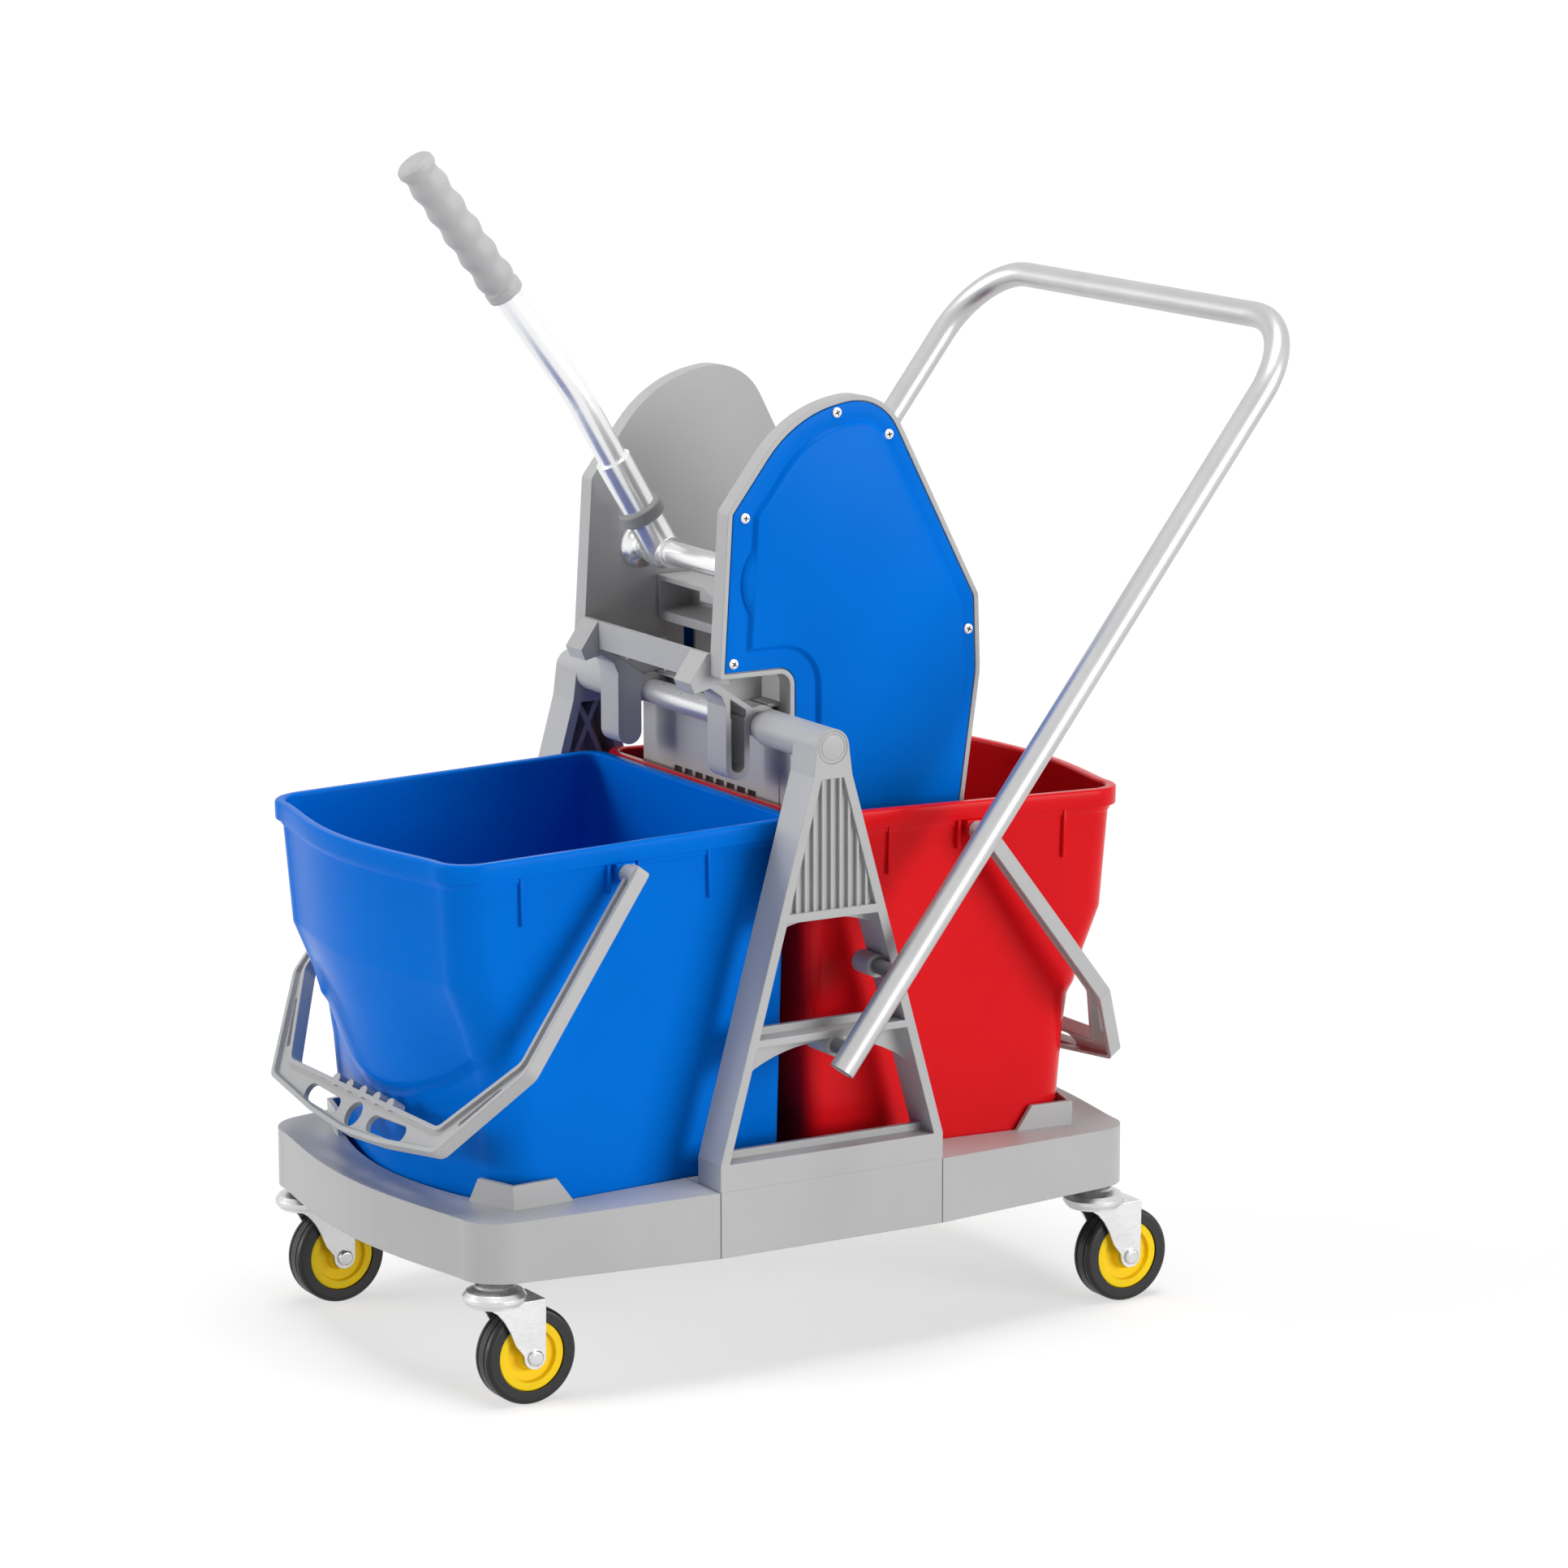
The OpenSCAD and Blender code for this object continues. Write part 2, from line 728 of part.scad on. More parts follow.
module bucket_shell() {
    neck = bucket_height - rim_band;
    levels = [6, 30, 60, 88, 98, 108, 118, 128, 138, 148, 158, 183, 216, 245];
    t = bucket_wall;
    skin(concat(
        [at_height(bucket_ring(0, -5), 0)],
        [for (w = levels) bucket_ring(w, 0)],
        [bucket_ring(neck, 0), at_height(bucket_ring(neck, rim_over), neck)],
        [at_height(bucket_ring(neck, rim_over), bucket_height - 2)],
        [at_height(bucket_ring(neck, rim_over - 2), bucket_height)],
        [at_height(bucket_ring(neck, -t), bucket_height)],
        [for (i = [len(levels) - 1 : -1 : 1]) bucket_ring(levels[i], -t)],
        [at_height(bucket_ring(8, -t), 8), at_height(bucket_ring(8, -t - 5), t)]
    ));
}

// Lugs that carry the bail, with gussets, and the short ribs under the rim.
module bucket_lugs() {
    wall = lookup(lug_w, half_at);
    neck = bucket_height - rim_band;
    for (s = [-1, 1]) side(s) {
        difference() {
            union() {
                plate(wall - 2, wall + 9) translate([lug_u, lug_w]) circle(8.5);
                plate(wall - 2, wall + 9) translate([lug_u - 8.5, lug_w])
                    square([17, neck - lug_w]);
                for (x = [-15, 12]) {
                    translate([lug_u + x, wall - 2, neck - 24]) cube([3, 7, 24]);
                }
            }
            plate(wall + 1, wall + 10) translate([lug_u, lug_w]) circle(peg_d / 2 + running);
        }
        for (u = [84, 253]) {
            translate([u - 1.5, wall - 2, neck - 40]) cube([3, 5, 40]);
        }
    }
}

module bucket_body() {
    on_seat() {
        bucket_shell();
        bucket_lugs();
    }
}

module blue_bucket() {
    color(blue) placed() end(-1) bucket_body();
}

module red_bucket() {
    color(red) placed() end(1) bucket_body();
}

// Bails

bail_x = lug_u * cos(deck_fall) + lug_w * sin(deck_fall) - bucket_setback;
bail_z = seat_height + lug_w * cos(deck_fall) - lug_u * sin(deck_fall);
grip_in = bail_reach - 20;
bail_bow = 16;

// The bail swings down until its grip stands bail_gap before the bucket front.
function front_x(z) =
    let (w = (z - seat_height) / cos(deck_fall) + 300 * sin(deck_fall))
    lookup(w, reach_at) * cos(deck_fall) + w * sin(deck_fall) - bucket_setback;
function rest_angle(n) =
    n == 0 ? 36 : asin((front_x(bail_z - grip_in * cos(rest_angle(n - 1))) + bail_gap - bail_x) / grip_in);
// A longer bail stays clear of the tray's end.
tray_lip = seat_height + deck_w * cos(deck_fall) - (tray_reach + bucket_setback) * tan(deck_fall);
lip_angle = acos(min((bail_z - tray_lip - bail_thick) / (bail_reach + bail_bow), 1));
bail_rest = max(rest_angle(6), lip_angle);

// Outer edge of the bail, with y across and the pivot axis at height 0.
bail_edge = [
    [-192.5, 8], [-205, -bail_knee], [-146, -bail_reach], [-60, -bail_reach - 12],
    [0, -bail_reach - bail_bow], [60, -bail_reach - 12], [146, -bail_reach], [205, -bail_knee], [192.5, 8],
    [179, 8], [190, -bail_knee + 6], [131, -grip_in], [-131, -grip_in],
    [-190, -bail_knee + 6], [-179, 8]
];
// A point on the middle line of the slanted arms, from the knee to the grip corner.
function slit(t) = (1 - t) * (bail_edge[7] + bail_edge[10]) / 2 + t * (bail_edge[6] + bail_edge[11]) / 2;
bail_round = [4, 12, 14, 0, 0, 0, 14, 12, 4, 4, 10, 10, 10, 10, 4];

module bail_body() {
    rail = 4;
    thin = inset(bail_edge, rail);
    thin_round = inset_radii(bail_edge, bail_round, rail);
    translate([bail_x, 0, bail_z]) rotate([0, -bail_rest, 0]) difference() {
        union() {
            difference() {
                rotate([90, 0, 90]) linear_extrude(bail_thick, center = true) rounded(bail_edge, bail_round);
                for (m = [0, 1]) {
                    mirror([m, 0, 0]) translate([bail_web / 2, 0, 0]) rotate([90, 0, 90])
                        linear_extrude(20) rounded(thin, thin_round);
                }
            }
            for (s = [-1, 1]) side(s) {
                plate(lookup(lug_w, half_at) + 3, 186) circle(peg_d / 2);
                plate(lookup(lug_w, half_at) + 10, 190) circle(8);
            }
            // Finger notches stand between these bumps on the inner edge of the grip.
            for (y = [-48 : 24 : 48]) {
                translate([0, y, -grip_in]) rotate([0, 90, 0])
                    cylinder(r = 5.5, h = bail_thick, center = true);
            }
        }
        rotate([90, 0, 90]) translate([0, 0, -15]) linear_extrude(30) {
            translate([0, -bail_reach + 1]) circle(11);
            for (s = [-1, 1]) {
                slot([s * 34, -bail_reach + 0.5], [s * 80, -bail_reach + 2.5], 7.5);
                slot([s * slit(0.3)[0], slit(0.3)[1]], [s * slit(0.75)[0], slit(0.75)[1]], 2.4);
            }
        }
    }
}

module blue_bail() {
    color(grey) placed() end(-1) bail_body();
}

module red_bail() {
    color(grey) placed() end(1) bail_body();
}

// Wringer

// Heights over the cross tube, as heights over the floor.
function lifted(points) = [for (p = points) [p[0], p[1] + tube_height]];
panel_edge = lifted([
    [-48.5, 44], [17, 44], [17, -hopper_depth], [176, -hopper_depth], [198, 30],
    [196, 93], [105, 270], [20, 256], [-40, 178]
]);
panel_round = [3, 10, 10, 15, 60, 10, 50, 110, 10];
screw_at = lifted([
    [60.6, 252], [109.5, 231], [-24.8, 173], [186, 65], [-36, 56],
    [172, 35 - hopper_depth], [40, 14 - hopper_depth]
]);

module panel_inset(d) {
    rounded(inset(panel_edge, d), inset_radii(panel_edge, panel_round, d));
}

slot_low = plate_low + 10 - press_travel - 3;
slot_high = plate_low + 27;
guide_x = [rack_x + 2, rack_x + 11];

module panel_body() {
    seat = panel_out - cover_sheet;
    difference() {
        plate(panel_in, panel_out) panel_inset(0);
        plate(panel_in + panel_plate, panel_out + 1) difference() {
            panel_inset(panel_rim + 4);
            for (p = screw_at) translate(p) circle(5);
        }
        plate(seat, panel_out + 1) panel_inset(panel_rim);
        plate(panel_in - 1, panel_in + panel_plate + 1) {
            translate([guide_x[0] - 1, slot_low])
                square([guide_x[1] - guide_x[0] + 2, slot_high - slot_low]);
            translate([shaft_x, shaft_z]) circle(13 + seated);
        }
        plate(panel_in + panel_plate + 2, panel_out) for (p = screw_at) translate(p) circle(1.9 + seated);
    }
}

module near_panel() {
    color(grey) placed() side(-1) panel_body();
}

module far_panel() {
    color(grey) placed() side(1) panel_body();
}

module cover_body() {
    low = panel_out - cover_sheet + seated;
    difference() {
        union() {
            plate(low, panel_out) panel_inset(panel_rim + 0.3);
            plate(panel_out - 1, panel_out + cover_field) union() {
                panel_inset(19);
                intersection() {
                    translate([shaft_x, shaft_z]) circle(42);
                    panel_inset(14);
                }
            }
        }
        plate(low - 1, panel_out + 5) for (p = screw_at) translate(p) circle(2.1);
        plate(low - 1, panel_out + cover_field - cover_sheet) panel_inset(22);
        plate(panel_out, panel_out + 5) for (p = screw_at) translate(p) circle(5);
    }
}

module near_cover() {
    color(blue) placed() side(-1) cover_body();
}

module far_cover() {
    color(blue) placed() side(1) cover_body();
}

module screw_set() {
    for (p = screw_at) {
        plate(panel_out - 11, panel_out + 1) translate(p) circle(1.9);
        translate([p[0], panel_out + seated, p[1]]) rotate([-90, 0, 0]) rotate_extrude()
            polygon([[0, 0], [4, 0], [4, 0.8], [3.2, 1.8], [1.8, 2.3], [0, 2.4]]);
    }
}

module near_cover_screws() {
    color(steel) placed() side(-1) screw_set();
}

module far_cover_screws() {
    color(steel) placed() side(1) screw_set();
}

saddle_r = 16.5;

module hopper() {
    t = 4;
    slope = (panel_edge[4][0] - panel_edge[3][0]) / (panel_edge[4][1] - panel_edge[3][1]);
    rise = hopper_back - hopper_floor;
    front = 16;
    lip = tube_height + 17;
    color(grey) placed() difference() {
        plate(-panel_in, panel_in) polygon([
            [front, hopper_floor], [172, hopper_floor], [172 + slope * rise, hopper_back],
            [172 + slope * rise - t, hopper_back], [172 - t, hopper_floor + t],
            [front + t, hopper_floor + t], [front + t, lip], [5, lip], [5, lip - 3], [front, lip - 3]
        ]);
        for (i = [0 : 7]) {
            translate([front - 1, -66.85 + i * 17.3, tube_height - 73]) cube([t + 2, 12.6, 10]);
        }
        for (i = [0 : 6]) {
            translate([32, -84 + i * 26, hopper_floor - 1]) cube([124, 12, t + 2]);
        }
        for (s = [-1, 1]) side(s) plate(hook_in - seated, panel_in + 1) translate([0, tube_height])
            circle(saddle_r + seated);
    }
}

hook_in = 74;

module hook_beam() {
    color(grey) placed() union() {
        plate(-panel_in, panel_in) polygon(lifted([
            [-50, 63], [-50, 40], [-30, 36], [-30, 40], [-46, 44], [-46, 63]
        ]));
        for (s = [-1, 1]) side(s) {
            hook();
            plate(hook_in + 3, panel_in) polygon(lifted([
                [-46, 63], [-50, 63], [-66, 40], [-62, 31], [-46, 35]
            ]));
            translate([-48, 30, tube_height + 38]) cube([16, 3, 16]);
        }
    }
}

// A hook: web, saddle over the cross tube and the tongue that hangs before it.
module hook() {
    tongue = [-33, -tube_r - 0.55];
    low = tube_height - 32;
    mid = (tongue[0] + tongue[1]) / 2;
    r = (tongue[1] - tongue[0]) / 2;
    difference() {
        plate(hook_in, panel_in) difference() {
            union() {
                polygon(concat(
                    lifted([[-50, 36], [-37, 27], [tongue[0], 18]]),
                    [[tongue[0], low], [tongue[1], low], [tongue[1], tube_height]],
                    lifted([[0, 0], [0, saddle_r], [-8, 15], [-48, 42]])
                ));
                translate([mid, low]) circle(r);
                intersection() {
                    translate([0, tube_height]) circle(saddle_r);
                    translate([-saddle_r - 0.5, tube_height]) square([2 * saddle_r + 1, saddle_r + 0.5]);
                }
            }
            translate([0, tube_height]) circle(tube_r + 0.3);
            translate([-tube_r - 0.3, tube_height - 30]) square([60, 30]);
        }
        plate(panel_in - 24, panel_in + 1) slot([mid, low + 1], [mid, tube_height + 9], 6);
        plate(panel_in - 24, panel_in + 1) polygon(lifted([[-29, 8], [-14.5, 8], [-14.5, 14], [-29, 24]]));
    }
}

module shaft_flanges() {
    color(steel) placed() for (s = [-1, 1]) side(s) {
        translate([shaft_x, 0, shaft_z]) rotate([-90, 0, 0]) rotate_extrude() polygon([
            [shaft_d / 2 + running, panel_in - 10], [12.2, panel_in - 10], [15.2, panel_in - 8],
            [17.8, panel_in - 4], [17.8, panel_in - seated], [13, panel_in - seated],
            [13, panel_in + panel_plate], [shaft_d / 2 + running, panel_in + panel_plate]
        ]);
    }
}

// Press mechanism

module press_shaft() {
    long = gear_out + 1;
    color(steel) placed() plate(-long, long) translate([shaft_x, shaft_z]) circle(shaft_d / 2);
}

// Involute teeth, each with its centre line along +x of its own frame.
base_r = pitch_r * cos(20);
tip_r = pitch_r + tooth_module;
root_r = pitch_r - 1.25 * tooth_module;
function involute(r) = let (a = acos(base_r / r)) tan(a) * 180 / PI - a;
tooth_half = (90 / tooth_count - tooth_play / 2 / pitch_r * 180 / PI) + involute(pitch_r);
flank_steps = 6;

module tooth() {
    flank = [
        for (i = [0 : flank_steps])
            let (r = base_r + (tip_r - base_r) * i / flank_steps, a = tooth_half - involute(r))
            [r * cos(a), r * sin(a)]
    ];
    foot = [(root_r - 1) * cos(tooth_half), (root_r - 1) * sin(tooth_half)];
    polygon(concat(
        [[foot[0], -foot[1]]],
        [for (p = flank) [p[0], -p[1]]],
        [for (i = [flank_steps : -1 : 0]) flank[i]],
        [foot]
    ));
}

module pinion_body() {
    plate(gear_in, gear_out) translate([shaft_x, shaft_z]) difference() {
        union() {
            circle(root_r);
            for (k = [-1 : 8]) rotate(k * 360 / tooth_count) tooth();
        }
        circle(shaft_d / 2 + seated);
        for (k = [0 : 4]) rotate(150 + k * 45) translate([21, 0]) circle(5);
    }
}

module near_pinion() {
    color(dark_grey) placed() side(-1) pinion_body();
}

module far_pinion() {
    color(dark_grey) placed() side(1) pinion_body();
}

module rack_body() {
    pitch = PI * tooth_module;
    half = pitch / 4 - tooth_play / 2;
    lean = tan(20);
    low = plate_low - 3;
    high = shaft_z + press_travel + 16;
    plate(gear_in, gear_out) {
        translate([rack_x, low]) square([11, high - low]);
        for (k = [-2 : 8]) translate([pitch_x, shaft_z + (k + 0.5) * pitch]) polygon([
            [-tooth_module, -half + tooth_module * lean],
            [1.25 * tooth_module + 0.5, -half - (1.25 * tooth_module + 0.5) * lean],
            [1.25 * tooth_module + 0.5, half + (1.25 * tooth_module + 0.5) * lean],
            [-tooth_module, half - tooth_module * lean]
        ]);
    }
}

module near_rack() {
    color(dark_grey) placed() side(-1) rack_body();
}

module far_rack() {
    color(dark_grey) placed() side(1) rack_body();
}

module press_plate() {
    x0 = 21;
    x1 = 176;
    half = panel_in - 1.5;
    t = 4;
    wall = x0 + 36;
    high = plate_low + plate_tall;
    color(grey) placed() {
        difference() {
            translate([x0, -half, plate_low]) cube([x1 - x0, 2 * half, plate_tall]);
            plate(-half + t, half - t) polygon([
                [wall + 2, plate_low + 12], [x1 - 9, plate_low + 12],
                [x1 - t, high + 1], [wall - 3, high + 1]
            ]);
            for (s = [-1, 1]) side(s) press_pocket(32, half - t, high - 5);
            press_pocket(-33, 33, high - 13);
            // The top edge dips toward the middle.
            translate([x0 - 1, 0, 0]) rotate([90, 0, 90]) linear_extrude(wall - x0 - 2) polygon([
                [-27, high + 1], [-27, high], [-8, high - 6.5], [8, high - 6.5], [27, high], [27, high + 1]
            ]);
            for (i = [0 : 6]) {
                translate([x0 + t, -91 + i * 26, plate_low - 1]) cube([x1 - x0 - 2 * t, 20, 5]);
            }
        }
        for (y = [-33, 33]) {
            translate([wall, y - 1.5, plate_low + 8]) cube([x1 - wall - 6, 3, 18]);
        }
        for (s = [-1, 1]) side(s) {
            plate(half - 2, gear_in - seated) translate([guide_x[0], plate_low + 10])
                square([guide_x[1] - guide_x[0], 14]);
        }
    }
}

// The pocket in the front of the press plate, with a slanted back wall.
module press_pocket(y0, y1, top) {
    plate(y0, y1) polygon([[20, plate_low + 8], [51, plate_low + 12], [46, top], [20, top]]);
}

// Lever

module on_lever() {
    translate([shaft_x, lever_y, shaft_z]) rotate([0, -lever_lean, 0]) children();
}

lever_kink = lever_top_lean - lever_lean;
kink_r = 200;
kink_run = kink_r * tan(lever_kink / 2);

module lever_socket() {
    color(steel) placed() difference() {
        union() {
            translate([shaft_x, lever_y - 16, shaft_z]) rotate([-90, 0, 0]) cylinder(r = 12.8, h = 32);
            translate([shaft_x, lever_y, shaft_z]) sphere(14.9);
            on_lever() cylinder(r = 15, h = socket_top);
        }
        translate([shaft_x, lever_y - 17, shaft_z]) rotate([-90, 0, 0])
            cylinder(r = shaft_d / 2 + seated, h = 34);
        on_lever() translate([0, 0, 30]) cylinder(r = lever_d / 2 + seated, h = socket_top);
    }
}

module socket_collar() {
    color(dark_grey) placed() on_lever() translate([0, 0, 33]) rotate_extrude() polygon([
        [15 + seated, 0], [17, 0], [19, 2], [19, 11], [17, 13], [15 + seated, 13]
    ]);
}

// The bent centre line of the lever, as a solid of radius r from a start to an end.
module lever_form(r, from, past) {
    on_lever() {
        translate([0, 0, from]) cylinder(r = r, h = lever_bend - kink_run - from);
        translate([-kink_r, 0, lever_bend - kink_run]) rotate([90, 0, 0])
            rotate_extrude(angle = lever_kink) translate([kink_r, 0]) circle(r);
        translate([0, 0, lever_bend]) rotate([0, -lever_kink, 0]) translate([0, 0, kink_run - 2])
            cylinder(r = r - 0.02, h = lever_upper - 4 - kink_run + 2 + past);
    }
}

module lever_tube() {
    color(steel) placed() difference() {
        lever_form(lever_d / 2, 32, 0);
        lever_form(lever_d / 2 - tube_wall, 30, 1);
    }
}

module lever_grip() {
    waves = 5;
    steps = 8;
    count = waves * steps;
    foot = 10;
    body = grip_length - foot - 12;
    bore = lever_d / 2 + seated;
    function swell(i) = 15.1 + 1.1 * sin(i / steps * 360 - 60);
    color(dark_grey) placed() on_lever() translate([0, 0, lever_bend]) rotate([0, -lever_kink, 0])
        translate([0, 0, lever_upper - grip_length]) rotate_extrude() polygon(concat(
            [[bore, 0], [14.5, 0], [15.5, 1.5], [15.5, foot - 1]],
            [for (i = [0 : count]) [swell(i), foot + body * i / count]],
            [[16.4, grip_length - 8], [16, grip_length - 3.5], [13.5, grip_length - 0.8]],
            [[11, grip_length], [0, grip_length], [0, grip_length - 4 + seated]],
            [[bore, grip_length - 4 + seated]]
        ));
}

// Casters

module at_caster(c) {
    x = c == "front_near" || c == "front_far" ? -caster_x : caster_x;
    y = c == "front_near" || c == "rear_near" ? -caster_y : caster_y;
    translate([x - origin_x, y, 0]) children();
}

module at_axle() {
    translate([caster_trail, 0, wheel_r]) rotate([90, 0, 0]) children();
}

fork_in = wheel_width / 2 + 3;
fork_out = fork_in + fork_sheet;
crown_low = wheel_d + 4;
crown_high = crown_low + 3;

module caster_stem(c) {
    pin_r = swivel_d / 2;
    color(steel) at_caster(c) rotate_extrude() polygon([
        [0, crown_low - 2.5], [8, crown_low - 2.5], [8, crown_low - 0.5], [pin_r, crown_low - 0.5],
        [pin_r, base_under - 3], [11, base_under - 3], [11, base_under - seated],
        [pin_r, base_under - seated], [pin_r, base_under + 22], [0, base_under + 22]
    ]);
}

module caster_fork(c) {
    color(steel) at_caster(c) difference() {
        union() {
            translate([0, 0, crown_low]) linear_extrude(crown_high - crown_low) {
                circle(dome_d / 2 - 4);
                translate([-8, -fork_out]) square([caster_trail + 18, 2 * fork_out]);
            }
            rotate_extrude() polygon([
                [0, crown_high - 1], [dome_d / 2 - 2, crown_high - 1], [dome_d / 2, crown_high + 2],
                [dome_d / 2, crown_high + 5], [dome_d / 2 - 3, crown_high + 9],
                [dome_d / 2 - 9, crown_high + 12], [15, crown_high + 14], [12, base_under - 3.5],
                [0, base_under - 3.5]
            ]);
            for (s = [-1, 1]) side(s) plate(fork_in, fork_out) {
                polygon([
                    [-15, crown_high], [-12, crown_low], [-6, crown_low - 4], [0, crown_low - 11],
                    [5, crown_low - 20], [10, crown_low - 32], [caster_trail - 10, wheel_r + 3],
                    [caster_trail - 8.6, wheel_r - 4], [caster_trail + 9.5, wheel_r],
                    [caster_trail + 10, crown_high]
                ]);
                translate([caster_trail, wheel_r]) circle(9.5);
            }
        }
        translate([0, 0, crown_low - 1]) cylinder(r = swivel_d / 2 + running, h = 40);
        translate([caster_trail, 30, wheel_r]) rotate([90, 0, 0]) cylinder(r = axle_d / 2 + seated, h = 60);
    }
}

module caster_axle(c) {
    r = axle_d / 2;
    color(steel) at_caster(c) at_axle() rotate_extrude() polygon([
        [0, -fork_out - 3.5], [5, -fork_out - 3.5], [6.5, -fork_out - 2], [6.5, -fork_out - seated],
        [r, -fork_out - seated], [r, fork_out + seated], [6.5, fork_out + seated],
        [6.5, fork_out + 2], [5, fork_out + 3.5], [0, fork_out + 3.5]
    ]);
}

module wheel_hub(c) {
    r = hub_d / 2;
    half = wheel_width / 2;
    color(yellow) at_caster(c) at_axle() rotate_extrude() polygon([
        [axle_d / 2 + running, -half - 2], [10, -half - 2], [11.5, -half], [12.5, -half + 5],
        [r - 8, -half + 5], [r - 7, -half + 1], [r - 1, -half + 1], [r, -half + 2],
        [r, half - 2], [r - 1, half - 1], [r - 7, half - 1], [r - 8, half - 5],
        [12.5, half - 5], [11.5, half], [10, half + 2], [axle_d / 2 + running, half + 2]
    ]);
}

module wheel_tyre(c) {
    r = wheel_r;
    half = wheel_width / 2;
    color(black) at_caster(c) at_axle() rotate_extrude() difference() {
        union() {
            translate([hub_d / 2 + seated, -half]) square([r - 4 - hub_d / 2 - seated, 2 * half]);
            translate([hub_d / 2 + seated, -half + 4]) square([r - hub_d / 2 - seated, 2 * half - 8]);
            for (s = [-1, 1]) translate([r - 4, s * (half - 4)]) circle(4);
        }
        for (y = [-5, 5]) translate([r - 1.2, y - 0.8]) square([3, 1.6]);
    }
}

front_tray();
rear_tray();
centre_block();
near_upright();
far_upright();
cross_tube();
boss_caps();
push_handle();
handle_bolts();
handle_spacers();
blue_bucket();
red_bucket();
blue_bail();
red_bail();
near_panel();
far_panel();
near_cover();
far_cover();
near_cover_screws();
far_cover_screws();
hopper();
hook_beam();
shaft_flanges();
press_shaft();
near_pinion();
far_pinion();
lever_socket();
socket_collar();
lever_tube();
lever_grip();
press_plate();
near_rack();
far_rack();
for (c = corners) {
    caster_stem(c);
    caster_fork(c);
    caster_axle(c);
    wheel_hub(c);
    wheel_tyre(c);
}
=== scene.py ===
import json
import math

import bmesh
import bpy
from mathutils import Matrix, Vector


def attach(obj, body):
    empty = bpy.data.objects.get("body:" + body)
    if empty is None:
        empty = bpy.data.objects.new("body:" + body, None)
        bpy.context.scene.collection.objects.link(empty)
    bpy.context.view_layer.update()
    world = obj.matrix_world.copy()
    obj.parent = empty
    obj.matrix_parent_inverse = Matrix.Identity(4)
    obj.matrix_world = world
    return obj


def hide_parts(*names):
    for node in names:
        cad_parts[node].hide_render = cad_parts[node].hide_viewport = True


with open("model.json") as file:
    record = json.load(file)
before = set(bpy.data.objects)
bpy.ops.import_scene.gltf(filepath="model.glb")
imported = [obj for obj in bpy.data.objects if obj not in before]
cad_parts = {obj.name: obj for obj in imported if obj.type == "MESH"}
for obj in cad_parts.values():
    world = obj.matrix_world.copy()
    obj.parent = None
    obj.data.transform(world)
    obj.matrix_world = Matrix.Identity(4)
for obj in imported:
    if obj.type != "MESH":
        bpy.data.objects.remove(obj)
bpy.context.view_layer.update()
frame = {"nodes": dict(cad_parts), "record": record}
nodes = frame["nodes"]
bodyOf = {n: body for body, names in frame["record"]["behaviour"]["bodies"].items() for n in names}
slotOf = {row["node"]: row["material_slot"] for row in frame["record"]["subparts"]}
mm = 0.001  # sizes are written in millimetres
middleX = -53.57  # where x 0 of the part's source lies in the frame
blockHalf = 104  # half the length of the base's middle block, where the trays meet it
print("frame loaded:", len(nodes), "nodes")


# materials
plasticLooks = {
    "grey_plastic": dict(light=(0.475, 0.475, 0.475), deep=(0.440, 0.440, 0.442), rough=(0.30, 0.42),
                         grain=1500, relief=0.04, edge=1.1, gloss=0.4),
    "blue_plastic": dict(light=(0.0, 0.168, 0.71), deep=(0.0, 0.155, 0.67), rough=(0.18, 0.27),
                         grain=900, relief=0.025, edge=0.7, gloss=0.025),
    "red_plastic": dict(light=(0.74, 0.0075, 0.0125), deep=(0.69, 0.0060, 0.0105), rough=(0.18, 0.27),
                        grain=900, relief=0.025, edge=0.7, gloss=0.09),
    "yellow_plastic": dict(light=(1.0, 0.70, 0.003), deep=(0.97, 0.64, 0.002), rough=(0.26, 0.38),
                           grain=1200, relief=0.04, edge=0.5, gloss=0.25),
    "dark_plastic": dict(light=(0.165, 0.165, 0.168), deep=(0.135, 0.135, 0.138), rough=(0.36, 0.5),
                         grain=1500, relief=0.06, edge=0.4, gloss=0.4),
    "grip_plastic": dict(light=(0.500, 0.500, 0.502), deep=(0.465, 0.465, 0.467), rough=(0.42, 0.56),
                         grain=2400, relief=0.12, edge=0.8, gloss=0.35),
    "tyre_rubber": dict(light=(0.0095, 0.0095, 0.0098), deep=(0.006, 0.006, 0.0062), rough=(0.30, 0.46),
                        grain=1800, relief=0.10, edge=0.6, gloss=0.4),
}
plasticLooks["collar_grey"] = dict(plasticLooks["grip_plastic"],
                                   light=(0.33, 0.33, 0.332), deep=(0.29, 0.29, 0.292))
plasticLooks["base_grey"] = dict(plasticLooks["grey_plastic"],
                                 seams=(middleX - blockHalf, middleX + blockHalf))
